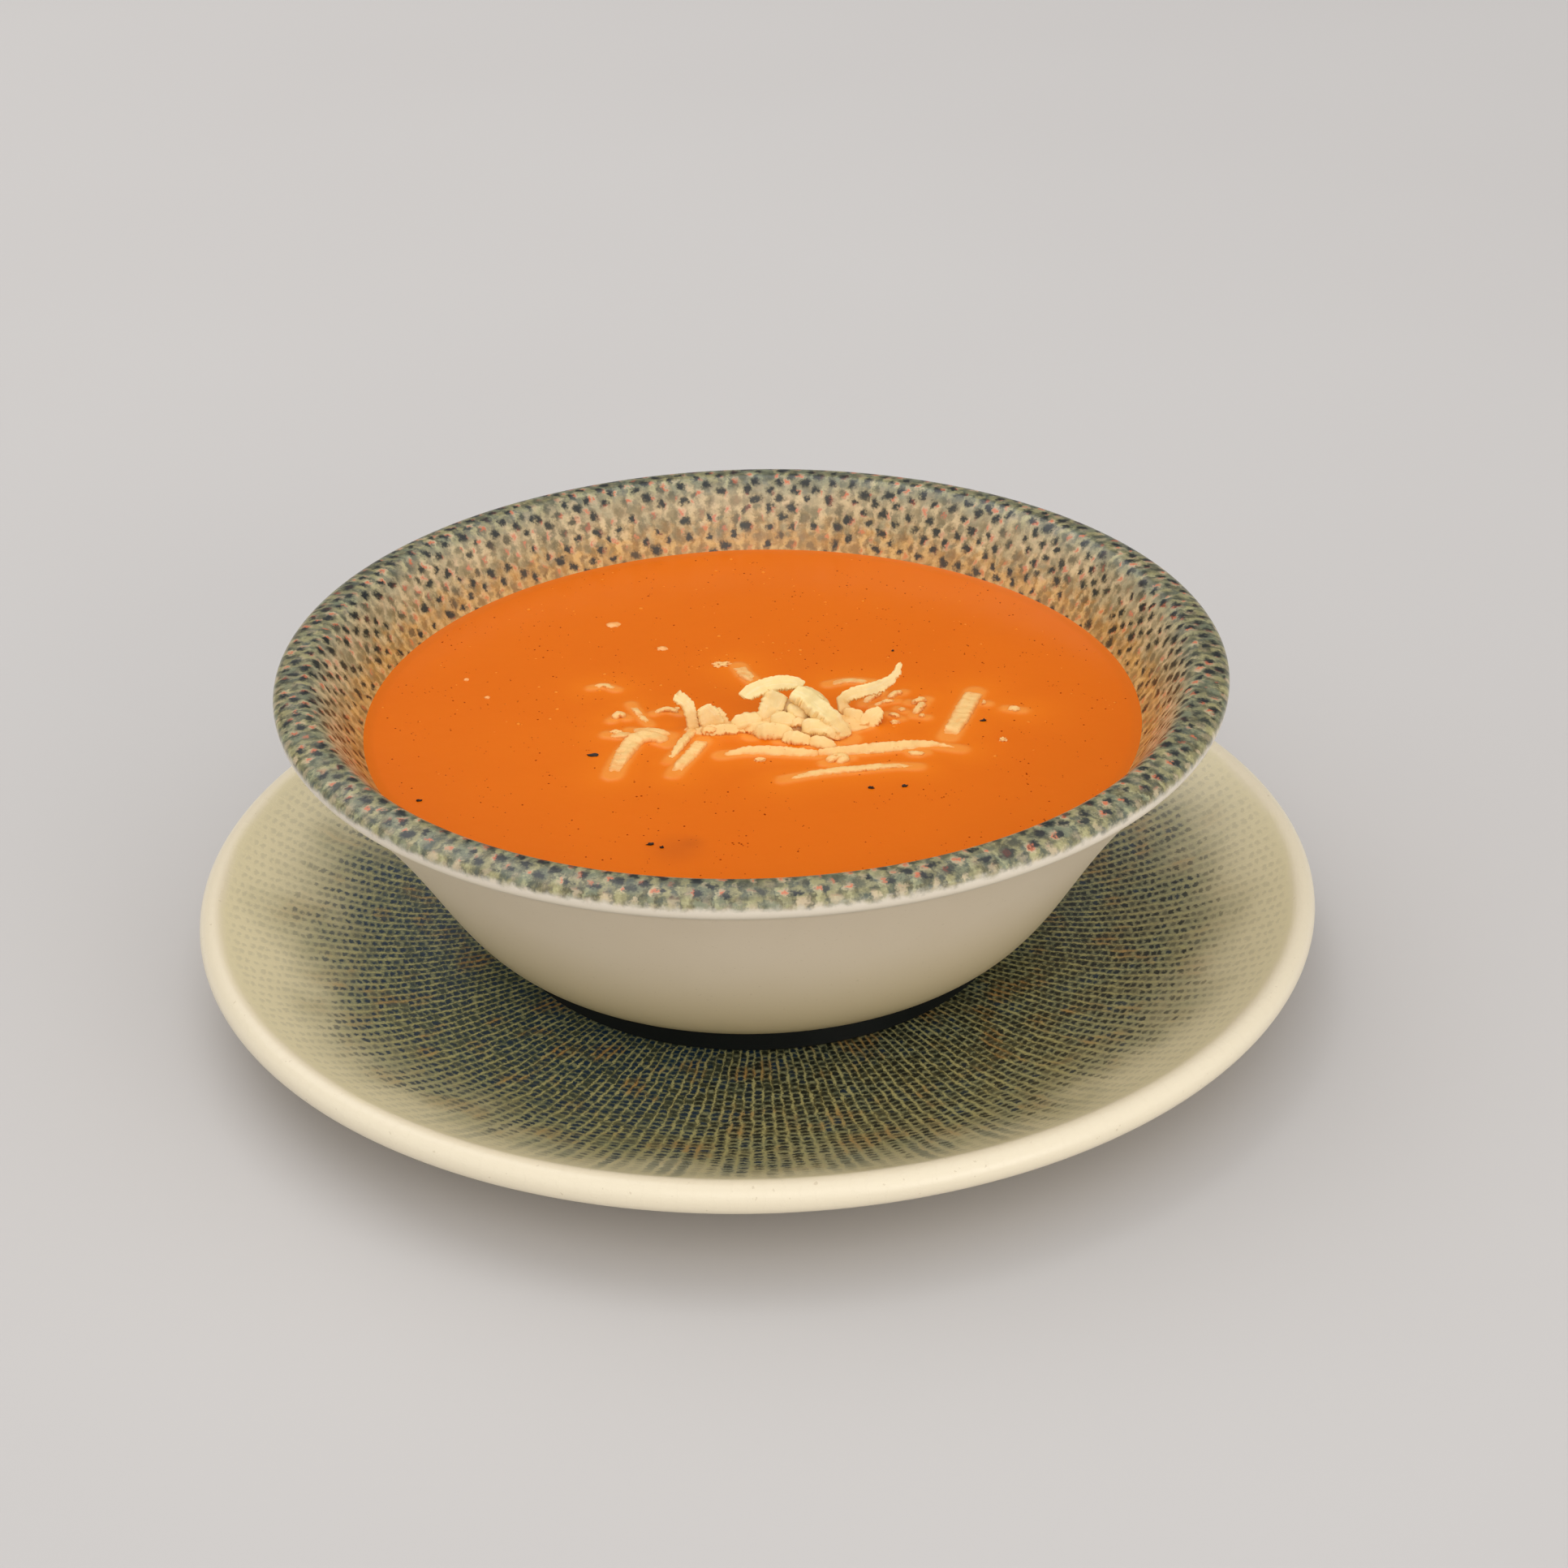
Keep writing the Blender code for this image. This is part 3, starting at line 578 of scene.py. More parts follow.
def bezier(start, control_a, control_b, end, count):
    """Points of a cubic curve, both ends included."""
    points = []
    for step in range(count + 1):
        t = step / count
        s = 1.0 - t
        weights = (s ** 3, 3 * s * s * t, 3 * s * t * t, t ** 3)
        corners = (start, control_a, control_b, end)
        points.append(tuple(sum(w * c[axis] for w, c in zip(weights, corners)) for axis in (0, 1)))
    return points


def arc(centre, radius, first, last, count):
    """Points of an arc in the profile's plane, its angles in degrees from the +r direction."""
    angles = [math.radians(first + (last - first) * step / count) for step in range(count + 1)]
    return [(centre[0] + radius * math.cos(angle), centre[1] + radius * math.sin(angle)) for angle in angles]


def straight(start, end, count):
    """Points of a straight run, without its start."""
    return [tuple(a + (b - a) * step / count for a, b in zip(start, end)) for step in range(1, count + 1)]


def turned_tree():
    """Turns a profile round the Z axis. The print's map is (share of a turn, way from the rim in mm)."""
    tree, desk, given = new_tree("turned on the wheel", {
        "Profile": "Object", "Around": "Int", "Rim Place": "Float", "Finish": "Material"})
    line = desk.add("GeometryNodeObjectInfo", {"Object": given["Profile"]}, out="Geometry")
    count = desk.add("GeometryNodeAttributeDomainSize", {0: line}, out="Point Count", component="CURVE")
    sheet, turn, along = desk.sheet(given["Around"] + 1, count)
    step = desk.sum("ROUND", along * (count - 1.0))

    def sampled(value, kind):
        """What the profile has at this row of the sheet."""
        return desk.add("GeometryNodeSampleIndex", {"Geometry": line, "Value": value, "Index": step},
                        data_type=kind)

    radius, _, height = desk.split(sampled(desk.add("GeometryNodeInputPosition"), "FLOAT_VECTOR"))
    way = sampled(desk.add("GeometryNodeSplineParameter", out="Length"), "FLOAT")
    layout = desk.join(turn, (way - given["Rim Place"]) / MM, 0.0)
    mapped = desk.marked(sheet, "print", layout, "FLOAT2", "CORNER")
    angle = turn * TURN
    place = desk.join(radius * desk.sum("COSINE", angle), radius * desk.sum("SINE", angle), height)
    end_tree(desk, desk.add("GeometryNodeSetPosition", {"Geometry": mapped, "Position": place}),
             given["Finish"])
    return tree


def turned(tree, name, profile, rim_place, finish):
    """A turned piece from a profile in millimetres."""
    guide = outline_curve(name + "_profile", [(radius * MM, 0.0, height * MM) for radius, height in profile])
    mesh = grown(tree, name, Profile=guide, Around=AROUND, Rim_Place=rim_place * MM, Finish=finish.material)
    bpy.data.objects.remove(guide)
    return mend(mesh)


def way_to(profile, index):
    """The length of a profile up to one of its points."""
    return sum(math.dist(a, b) for a, b in zip(profile[:index], profile[1:index + 1]))


def plate_profile():
    """From the middle of the underside, out over the foot ring and the rolled edge, to the middle."""
    ceiling = PLATE_FLOOR_TOP - PLATE_THICKNESS
    centre = (PLATE_FLOOR_RADIUS, PLATE_FLOOR_TOP + PLATE_CURVE)
    slope = math.radians(PLATE_END_SLOPE)
    roll = (centre[0] + (PLATE_CURVE + PLATE_ROLL) * math.sin(slope),
            centre[1] - (PLATE_CURVE + PLATE_ROLL) * math.cos(slope))
    edge = PLATE_FOOT_EDGE
    outline = [(0.0, ceiling)] + straight((0.0, ceiling), (PLATE_FOOT_INNER - edge, ceiling), 8)
    outline += [(PLATE_FOOT_INNER, ceiling - edge), (PLATE_FOOT_INNER + edge, edge),
                (PLATE_FOOT_INNER + 2 * edge, 0.0), (PLATE_FOOT_OUTER - 2 * edge, 0.0),
                (PLATE_FOOT_OUTER - edge, edge)]
    under = arc(centre, PLATE_CURVE + PLATE_THICKNESS, -90.0, PLATE_END_SLOPE - 91.0, 30)
    outline += [point for point in under if point[0] > PLATE_FOOT_OUTER]
    outline += arc(roll, PLATE_ROLL, PLATE_END_SLOPE - 90.0, PLATE_END_SLOPE + 90.0, 20)
    inside = arc(centre, PLATE_CURVE, PLATE_END_SLOPE - 90.0, -90.0, 30)[1:]
    return outline + inside + straight(inside[-1], (0.0, PLATE_FLOOR_TOP), 10)


def wall_curve(offset, count):
    """The bowl's outer wall from top to foot, moved inwards by offset along its normal."""
    curve = bezier(LIP_UNDERSIDE, *WALL_CONTROLS, WALL_FOOT, WALL_STEPS)
    points = []
    for step in range(count + 1):
        here = round(WALL_STEPS * step / count)
        index = min(max(here, 1), WALL_STEPS - 1)
        before, after = curve[index - 1], curve[index + 1]
        run, drop = after[0] - before[0], after[1] - before[1]
        length = math.hypot(run, drop)
        points.append((curve[here][0] + offset * drop / length, curve[here][1] - offset * run / length))
    return points


def bowl_profile():
    """The bowl's outline from the middle of its underside to the middle inside, and its rim's index."""
    edge = FOOT_EDGE
    recess_end = (FOOT_INNER - 3 * edge, RECESS_CEILING)
    outline = [(0.0, RECESS_CEILING)] + straight((0.0, RECESS_CEILING), recess_end, 8)
    outline += [(FOOT_INNER - edge, RECESS_CEILING - 2 * edge), (FOOT_INNER, BOWL_BASE + edge),
                (FOOT_INNER + edge, BOWL_BASE), (FOOT_OUTER - edge, BOWL_BASE),
                (FOOT_OUTER, BOWL_BASE + edge), (FOOT_OUTER - edge, WALL_FOOT[1] - 2 * edge)]
    outline += wall_curve(0.0, WALL_STEPS)[::-1]
    outline += bezier(LIP_UNDERSIDE, *NOSE_CONTROLS, NOSE, 10)[1:]
    rim = len(outline) - 1
    outline += bezier(NOSE, *LIP_CONTROLS, CREST, 14)[1:]
    inside = wall_curve(WALL_THICKNESS, WALL_STEPS)[SHOULDER_START:]
    outline += bezier(CREST, *SHOULDER_CONTROLS, inside[0], 16)[1:]
    outline += inside[1:]
    outline += straight(inside[-1], (BOWL_FLOOR_FLAT, BOWL_FLOOR_TOP), 4)
    return outline + straight((BOWL_FLOOR_FLAT, BOWL_FLOOR_TOP), (0.0, BOWL_FLOOR_TOP), 6), rim


def place_camera():
    """Looks at the middle of the rim from the front, with the photograph's small turn, tilt and roll."""
    elevation = math.radians(CAMERA_ELEVATION)
    back = Vector((0.0, -math.cos(elevation), math.sin(elevation)))
    forward, right = -back, Vector((1.0, 0.0, 0.0))
    up = right.cross(forward)
    pan = Matrix.Rotation(math.radians(CAMERA_PAN), 3, up)
    forward, right = pan @ forward, pan @ right
    tilt = Matrix.Rotation(math.radians(CAMERA_TILT), 3, right)
    forward, up = tilt @ forward, tilt @ up
    roll = Matrix.Rotation(math.radians(CAMERA_ROLL), 3, forward)
    right, up = roll @ right, roll @ up
    lens = bpy.data.cameras.new("camera")
    lens.sensor_width = CAMERA_SENSOR
    lens.lens = CAMERA_LENS
    lens.clip_start = CAMERA_NEAREST
    camera = placed("camera", lens)
    place = Matrix((right, up, -forward)).transposed().to_4x4()
    place.translation = (back * CAMERA_DISTANCE + Vector((0.0, 0.0, CAMERA_AIM))) * MM
    camera.matrix_world = place
    bpy.context.scene.camera = camera


def soft_light(name, place, aim, size, power, colour):
    """A square softbox that looks at a point."""
    lamp = bpy.data.lights.new(name, "AREA")
    lamp.size = size
    lamp.energy = power
    lamp.color = colour
    light = placed(name, lamp)
    light.location = place
    light.rotation_euler = (Vector(aim) - Vector(place)).to_track_quat("-Z", "Y").to_euler()


def light_the_table():
    """The softboxes, and soft light from the whole room but little from low behind."""
    for name, settings in LAMPS.items():
        soft_light(name, *settings)
    room = bpy.data.worlds.new("room")
    room.use_nodes = True
    desk = Desk(room.node_tree)
    _, back, up = desk.split(desk.add("ShaderNodeTexCoord", out="Generated"))
    low_behind = desk.rise(up, ROOM_BRIGHT_FROM, ROOM_DARK_BELOW) * desk.rise(back, 0.0, 0.5)
    background = room.node_tree.nodes["Background"]
    desk.feed(background.inputs["Color"], desk.blend(low_behind, ROOM_LIGHT, ROOM_SHADE))
    bpy.context.scene.world = room
    bpy.context.scene.view_settings.view_transform = "Standard"


def lay_table():
    """The plain pale floor."""
    finish = Finish("table", Roughness=0.85, Specular_IOR_Level=0.2)
    shade = finish.cloud(finish.spot(), 0.004)
    finish.set(Base_Color=finish.mixed(shade, (194, 190, 188), (199, 196, 194)))
    build = bmesh.new()
    bmesh.ops.create_grid(build, x_segments=1, y_segments=1, size=TABLE_HALF)
    placed("table", mesh_from("table", build, [finish.material]))


def stitch_spots(desk, x, y, place, seed, half, soft):
    """Rounded spots, one for each column on every second row: how much of a spot is here, and its dice."""
    shift, lift = place
    column = desk.sum("FLOOR", x - shift + 0.5)
    row = desk.sum("FLOOR", (y - lift) / 2.0 + 0.5)
    first, second, third = desk.dice(column % KNIT_COLUMNS, row, seed)
    across = (x - shift - column + (first - 0.5) * KNIT_JITTER) / half[0]
    along = (y - lift - row * 2.0 + (second - 0.5) * KNIT_JITTER * 2.0) / half[1]
    size = third * 0.5 + 0.75
    return desk.rise(desk.span(across, along) / size, 1.0 + soft, 1.0 - soft), second


def knit_streaks(finish, spot, reach):
    """A place for noise that draws fine lines down the wall, with no seam round the turn."""
    around = finish.sum("NORMALIZE", spot * (1.0, 1.0, 0.0))
    return around * (KNIT_COLUMNS * STREAKS_EACH / TURN) + finish.join(0.0, 0.0, reach * 0.45)


def knit_print(finish):
    """Colour and relief of the knit print: rows of dark blots, each beside a coral dash on a pale spot."""
    spot = finish.spot()
    turn, reach = finish.map("print")
    wander_x, wander_y, _ = finish.split(finish.drift(spot, 0.55))
    fine_x, fine_y, _ = finish.split(finish.drift(spot, 2.2, 2.0))
    x = turn * KNIT_COLUMNS + wander_x * 0.5 + fine_x * 0.35
    y = reach / KNIT_ROW - KNIT_FIRST_ROW + wander_y * 0.9 + fine_y * 0.6
    lip = finish.rise(reach + wander_x * 3.0, 12.5, 7.5)
    low = finish.rise(reach + wander_x * 9.0, 14.0, 20.0)
    inside = finish.rise(reach, 1.2, 2.0)

    def rows(place, seed, half, soft):
        """Spots on every second row, and on the rows between, half a column on: each with its dice."""
        shift, lift = place
        return (stitch_spots(finish, x, y, (shift, lift), seed, half, soft),
                stitch_spots(finish, x, y, (shift + 0.5, lift + 1.0), seed + 1.0, half, soft))

    def chosen(spots, how, even, odd):
        """The spots of both kinds of rows, each weakened as its dice says."""
        (here, dice), (there, other_dice) = spots
        return finish.most(here * how(dice, *even), there * how(other_dice, *odd))

    haze = finish.cloud(spot, 0.2, 3.0)
    slate = finish.cloud(spot + (20.0, 6.0, 0.0), 0.3, 3.0)
    grainy = finish.cloud(spot + (3.0, 0.0, 8.0), 1.5, 3.0, 0.65)
    streaks = finish.cloud(knit_streaks(finish, spot, reach), 1.0, 3.0, 0.65)
    tiles = rows((0.3, 0.1), 12.0, (0.19, 0.75), 0.45)
    scales = chosen(tiles, finish.between, (0.5, 1.0), (0.4, 1.0))
    gaps = chosen(rows((0.57, 0.1), 15.0, (0.14, 0.38), 0.5), finish.between, (0.2, 1.0), (0.2, 1.0))
    pale = chosen(rows(DASH_PLACE, 9.0, (0.13, 0.5), 0.6), finish.between, (0.3, 1.0), (0.2, 0.8))
    dashes = chosen(rows(DASH_PLACE, 9.0, (0.065, 0.3), 0.55), finish.rise, (0.0, 0.3), (0.4, 0.8))
    (halo, _), (other_halo, _) = rows(BLOT_PLACE, 1.0, (0.23, 0.58), 0.6)
    spared = (1.0 - lip) * 0.15
    kept = (spared, spared + 0.4)
    blots = chosen(rows(BLOT_PLACE, 1.0, (0.15, 0.42), 0.5), finish.rise, kept, kept)
    sway = finish.sum("SINE", y * (math.pi / 2.0)) * 0.07
    thread = finish.rise(abs((x + 0.78 + sway) % 1.0 - 0.5), 0.12, 0.03)
    thread = thread * finish.rise(finish.cloud(spot, 0.8, 3.0), 0.36, 0.6)

    shares = {
        "ground": 1.0,
        "haze": finish.rise(haze, 0.4, 0.6) * 0.7,
        "slate": finish.rise(slate, 0.5, 0.66) * 0.5,
        "streaks": finish.rise(streaks, 0.42, 0.7) * 0.45,
        "scales": scales * 0.85,
        "tinge": chosen(tiles, finish.rise, (0.5, 0.2), (0.4, 0.1)) * 0.7,
        "pale_grains": finish.rise(grainy, 0.5, 0.75) * 0.45,
        "dark_grains": finish.rise(grainy, 0.42, 0.2) * 0.6,
        "crest": finish.rise(reach, 6.0, 9.0) * finish.rise(reach, 15.0, 12.0) * 0.3,
        "thread": thread * 0.4,
        "gaps": gaps * (0.75 - lip * 0.4),
        "pale": pale * 0.8,
        "halo": finish.most(halo, other_halo) * inside * 0.7,
        "dashes": dashes * inside * 0.9,
        "blots": blots * inside * 0.95,
    }
    colour = tint(0, 0, 0)
    for name, (on_lip, on_wall, near_soup) in KNIT_TINTS.items():
        coat = finish.coated(finish.mixed(lip, on_wall, on_lip), (low, near_soup))
        colour = finish.coated(colour, (shares[name], coat))
    relief = scales * 0.4 + thread * 0.3 + pale * 0.4 - blots * 0.4 + streaks * 0.6 + grainy * 0.4
    return colour, relief, reach, wander_y + fine_y * 0.5


def bowl_finish():
    """Knit print inside and on the lip, a white band under it, a cream body painted darker and warmer
    towards its foot as shade and the plate's reflection, and a foot ring painted near black as shade and
    reflection.
    """
    finish = Finish("bowl_glaze", Roughness=0.34, Coat_Weight=0.1, Coat_Roughness=0.15)
    print_colour, relief, reach, wander = knit_print(finish)
    spot = finish.spot()
    _, _, height = finish.split(spot)
    # Painted shade: the foot ring is painted near black and shines less, for the shade and the dark plate's
    # reflection under the bowl
    foot = finish.rise(height, 12.4, 11.9)
    printed = finish.rise(reach + wander * 1.4, -0.8, 0.7)
    colour = finish.coated(
        finish.mixed(finish.cloud(spot, 0.05, 3.0), (224, 208, 184), (231, 217, 196)),
        # Painted shade: the body turns darker and warmer from 44 mm down to 12 mm, for the shade and the
        # plate's reflection low on the bowl
        (finish.rise(height, 44.0, 12.0), (206, 187, 146)),
        (finish.rise(finish.cloud(spot, 1.6), 0.68, 0.74) * 0.25, (176, 158, 128)),
        (finish.rise(reach + wander * 0.8, -3.8, -2.4), (222, 211, 193)),
        # The foot's painted shade and reflection
        (foot, (8, 12, 10)),
        (printed, print_colour))
    finish.set(Base_Color=colour, Specular_IOR_Level=0.5 - foot * 0.3)
    finish.bump(relief * printed, KNIT_RELIEF, 0.6)
    return finish


def weave_threads(finish, spot, turn, radius):
    """How far a point is across its thread and along its tick, its tick's dice and its thread's dice."""
    wander_x, wander_y, _ = finish.split(finish.drift(spot, 0.35))
    fine_x, fine_y, _ = finish.split(finish.drift(spot, 2.4, 2.0))
    packed = finish.sum("SINE", turn * (2.0 * TURN)) * WEAVE_PACKING
    x = turn * WEAVE_COLUMNS - packed + wander_x * 0.5 + fine_x * 0.6
    y = radius / WEAVE_ROW + wander_y * 0.9 + fine_y * 0.7
    column = finish.sum("FLOOR", x)
    odd = column % 2.0
    row = finish.sum("FLOOR", y + odd * 0.5)
    dice = finish.dice(column % WEAVE_COLUMNS, row, 5.0)
    thread_dice = finish.dice(column % WEAVE_COLUMNS, 0.0, 8.0)
    side = abs((x - column - 0.5 + (dice[1] - 0.5) * 0.12) * 2.0)
    along = (y + odd * 0.5 - row - 0.5 + (dice[0] - 0.5) * 0.3 - side * 0.14) / 0.32
    return side, along, dice, thread_dice


def plate_finish():
    """A woven print of dark ticks on olive cream, which fades out before the cream rolled edge."""
    finish = Finish("plate_glaze", Roughness=0.34, Coat_Weight=0.1, Coat_Roughness=0.15)
    spot = finish.spot()
    x_mm, y_mm, _ = finish.split(spot)
    turn, reach = finish.map("print")
    radius = finish.span(x_mm, y_mm)
    sideways = abs(x_mm) / radius
    side, along, (_, second, third), streaks = weave_threads(finish, spot, turn, radius)
    away = finish.span(side / (0.64 - sideways * 0.1), along) / (second * 0.4 + 0.8)
    tick = finish.rise(away, 1.25, 0.72)

    # Where the print is deep, and where it ends; both reach further at the front and back than at the sides,
    # which paints the bowl's shade on the plate
    field = finish.cloud(spot, 0.05, 4.0)
    patchy = finish.cloud(spot + (13.0, 5.0, 0.0), 0.16, 3.0)
    limit = radius + sideways * 10.0 + (field - 0.5) * 22.0
    fade = finish.rise(limit + (streaks[0] - 0.5) * 6.0, 98.5, 80.0)
    middle = finish.rise(limit, 100.0, 74.0)
    deep = finish.rise(radius + (field - 0.5) * 14.0 + sideways * 4.0, 98.0, 58.0)
    left = finish.rise(x_mm + (field - 0.5) * 60.0, 20.0, -50.0)

    # The threads and the worn places between the ticks, and the ticks' own strength and blueness
    rust = finish.rise(finish.cloud(spot + (40.0, 0.0, 0.0), 0.13, 4.0), 0.52, 0.68)
    line = finish.rise(side + (third - 0.5) * 0.3, 0.68, 0.98)
    loop = finish.rise(abs(along), 1.05, 1.6) * finish.rise(side, 0.95, 0.3)
    outer = finish.rise(radius, 78.0, 86.0) * finish.rise(radius + (streaks[2] - 0.5) * 6.0, 95.5, 88.0)
    front = finish.rise(sideways, 0.75, 0.3)
    inked_thread = finish.rise(streaks[1], 0.35, 0.8) * outer * front * finish.rise(side, 0.9, 0.5)
    ink = finish.rise(third + (patchy - 0.5) * 1.8 + (field - 0.5) * 1.0 + deep * 0.3, 0.05, 0.6)
    strength = finish.most(tick * fade * finish.between(ink, 0.35, 0.96),
                           tick * finish.rise(reach, 5.0, 9.0) * 0.15)
    blue = finish.rise(left * 0.8 + (third - 0.5) * 0.5 + (patchy - 0.5), 0.05, 0.5)
    edge = finish.rise(reach + (field - 0.5) * 3.0, 6.4, 4.2)
    nicks = finish.rise(finish.cloud(spot, 0.9), 0.70, 0.75)

    finish.set(Base_Color=finish.coated(
        finish.mixed(middle, (226, 214, 176), (168, 159, 108)),
        (deep, finish.mixed(left, (84, 76, 42), (62, 70, 52))),
        (finish.rise(patchy, 0.4, 0.65) * 0.55 * middle, finish.mixed(deep, (142, 150, 116), (88, 100, 82))),
        (rust * 0.45 * middle, finish.mixed(deep, (190, 150, 90), (146, 108, 56))),
        (finish.rise(side, 0.85, 0.35) * deep * 0.6, (62, 74, 62)),
        (line * finish.between(deep, 0.5, 0.75) * middle,
         finish.mixed(rust, (190, 182, 122), (188, 146, 84))),
        (loop * 0.4 * middle, (186, 184, 134)),
        (inked_thread * 0.5, (104, 116, 108)),
        (strength, finish.mixed(blue, (24, 27, 20), (18, 44, 66))),
        (edge, (228, 215, 188)),
        (nicks * edge * 0.4, (186, 166, 134))))
    finish.bump(line * 0.6 + loop * 0.3 - tick * fade * 0.5, WEAVE_RELIEF, 0.5)
    return finish


def smooth_path(points, steps):
    """A Catmull-Rom curve through the points, with the given number of steps between two of them."""
    points = [Vector(point) for point in points]
    ends = [2 * points[0] - points[1]] + points + [2 * points[-1] - points[-2]]
    path = []
    for index in range(1, len(ends) - 2):
        a, b, c, d = ends[index - 1:index + 3]
        for step in range(steps):
            t = step / steps
            path.append(0.5 * (2 * b + (c - a) * t + (2 * a - 5 * b + 4 * c - d) * t * t
                               + (3 * b - a - 3 * c + d) * t ** 3))
    return path + [points[-1]]


def strip_tree():
    """A grated strip along a path: a flat bar with torn ends, a toothed edge and a slight twist."""
    numbers = ("Width", "Thickness", "First Tip", "Last Tip", "Ragged", "Torn", "Soft", "Lump", "Soak",
               "Seed")
    tree, desk, given = new_tree("grated strip", {
        "Path": "Object", "Stations": "Int", "Sides": "Int", "Face": "Vector", "Finish": "Material",
        **dict.fromkeys(numbers, "Float")})
    thickness, soft, seed = given["Thickness"], given["Soft"], given["Seed"]
    line = desk.add("GeometryNodeObjectInfo", {"Object": given["Path"]}, out="Geometry")
    length = desk.add("GeometryNodeCurveLength", {0: line})
    sheet, share, round_share = desk.sheet(given["Stations"], given["Sides"] + 1)
    angle = round_share * TURN
    cosine, sine = desk.sum("COSINE", angle), desk.sum("SINE", angle)
    flat = desk.sum("SIGN", cosine) * abs(cosine) ** (soft * 0.55 + 0.35)
    tall = desk.sum("SIGN", sine) * abs(sine) ** (soft * 0.4 + 0.6)

    # Where a station lies on the path, and the directions of its width and its thickness
    slip = desk.cloud(desk.join(flat * 1.7, tall * 0.3, seed), 1.0, 3.0, 0.7) * given["Torn"] / length
    factor = share + slip * (1.0 - 2.0 * share)
    place = desk.add("GeometryNodeSampleCurve", {"Curves": line, "Factor": factor}, out="Position",
                     mode="FACTOR")
    tangent = desk.other(place, "Tangent")
    way = factor * length / MM
    face = given["Face"] + desk.drift(desk.join(way * 0.12, 7.0, seed), 1.0) * STRIP_TWIST
    side = desk.sum("NORMALIZE", desk.sum("CROSS_PRODUCT", tangent, face))
    out = desk.sum("CROSS_PRODUCT", side, tangent)

    # The section: full in the middle, narrower to the tips, shut at the ends
    opening = given["First Tip"] + (1.0 - given["First Tip"]) * desk.rise(share, -0.25, 0.3)
    closing = given["Last Tip"] + (1.0 - given["Last Tip"]) * desk.rise(share, 1.25, 0.55)
    full = desk.least(opening, closing)
    to_end = desk.least(share, 1.0 - share) * length
    near = desk.least(to_end / (thickness * (soft + 0.2)), 1.0)
    shut = desk.sum("SQRT", near * (2.0 - near))
    tear = desk.cloud(desk.join(way * 1.3, flat * 2.0, seed), 1.0) - 0.5
    teeth = desk.cloud(desk.join(way * 4.5, 3.0, seed), 1.0, 2.0, 0.7) - 0.5
    toothed = desk.rise(flat, 0.2, 0.9) * teeth * 1.7
    half = given["Width"] * 0.5 * full + (tear + toothed) * given["Ragged"]
    uneven = desk.cloud(desk.join(way * 0.6, flat * 1.2, seed), 1.0) + 0.5
    deep = thickness * (full * 0.3 + 0.2) * uneven
    sway = desk.cloud(desk.join(way * 0.25, 4.0, seed), 1.0) - 0.5
    sideways = flat * half * (1.0 - tall * 0.08)
    cupped = (flat * flat - 0.4) * half * 0.16
    moved = place + side * (sideways * shut) + out * ((tall * deep + cupped + sway * deep) * shut)

    mapped = desk.marked(sheet, "grain", desk.join(way, flat, 0.0), "FLOAT2", "CORNER")
    rim = desk.most(abs(flat) ** 2.0, 1.0 - to_end / (thickness * 2.2))
    wetted = desk.marked(mapped, "soak", given["Soak"] * desk.between(rim, 0.25, 1.0), "FLOAT", "POINT")
    formed = desk.add("GeometryNodeSetPosition", {"Geometry": wetted, "Position": moved})
    closed = desk.add("GeometryNodeMergeByDistance", {"Geometry": formed, "Distance": STRIP_MERGE})
    here = desk.add("GeometryNodeInputPosition") * PER_METRE + desk.join(seed, 0.0, 0.0)
    swell = (desk.cloud(here, 1.1, 3.0, 0.6) - 0.5) * given["Lump"]
    lumpy = desk.add("GeometryNodeSetPosition", {"Geometry": closed,
                                                 "Offset": desk.add("GeometryNodeInputNormal") * swell})
    end_tree(desk, lumpy, given["Finish"])
    return tree


def grated(tree, name, strip, finish, seed, make):
    """One grated strip as a closed mesh, made in one of the ways below the strips' tables."""
    soak, ragged, torn, lumpiness, soft, lift, keep = make
    corners, (width, thickness), tips, face = strip
    path = [Vector((point.x, point.y, SOUP_LEVEL + point.z * keep + lift))
            for point in smooth_path(corners, 10)]
    length = sum((b - a).length for a, b in zip(path, path[1:]))
    guide = outline_curve(name + "_path", [point * MM for point in path])
    mesh = grown(tree, name, Path=guide, Stations=max(16, round(length / STRIP_STEP)), Sides=STRIP_SIDES,
                 Width=width * MM, Thickness=thickness * MM, First_Tip=tips[0], Last_Tip=tips[1], Face=face,
                 Ragged=ragged * MM, Torn=torn * MM, Soft=soft, Lump=lumpiness * MM, Soak=soak, Seed=seed,
                 Finish=finish.material)
    bpy.data.objects.remove(guide)
    return mend(mesh, STRIP_MERGE)


def joined(name, meshes):
    """Several closed meshes as one."""
    build = bmesh.new()
    for mesh in meshes:
        build.from_mesh(mesh)
    return mesh_from(name, build, meshes[0].materials)


def lump(name, middle, half, finish, seed, rough=0.25, detail=4):
    """A low rounded mass with an uneven skin."""
    build = bmesh.new()
    bmesh.ops.create_icosphere(build, subdivisions=detail, radius=1.0)
    for vert in build.verts:
        swell = 1.0 + rough * noise.noise(vert.co * 2.1 + Vector((seed, 0.0, 0.0)))
        swell += 0.5 * rough * noise.noise(vert.co * 5.3 + Vector((0.0, seed, 0.0)))
        for axis in range(3):
            vert.co[axis] = (vert.co[axis] * half[axis] * swell + middle[axis]) * MM
    return mesh_from(name, build, [finish.material])


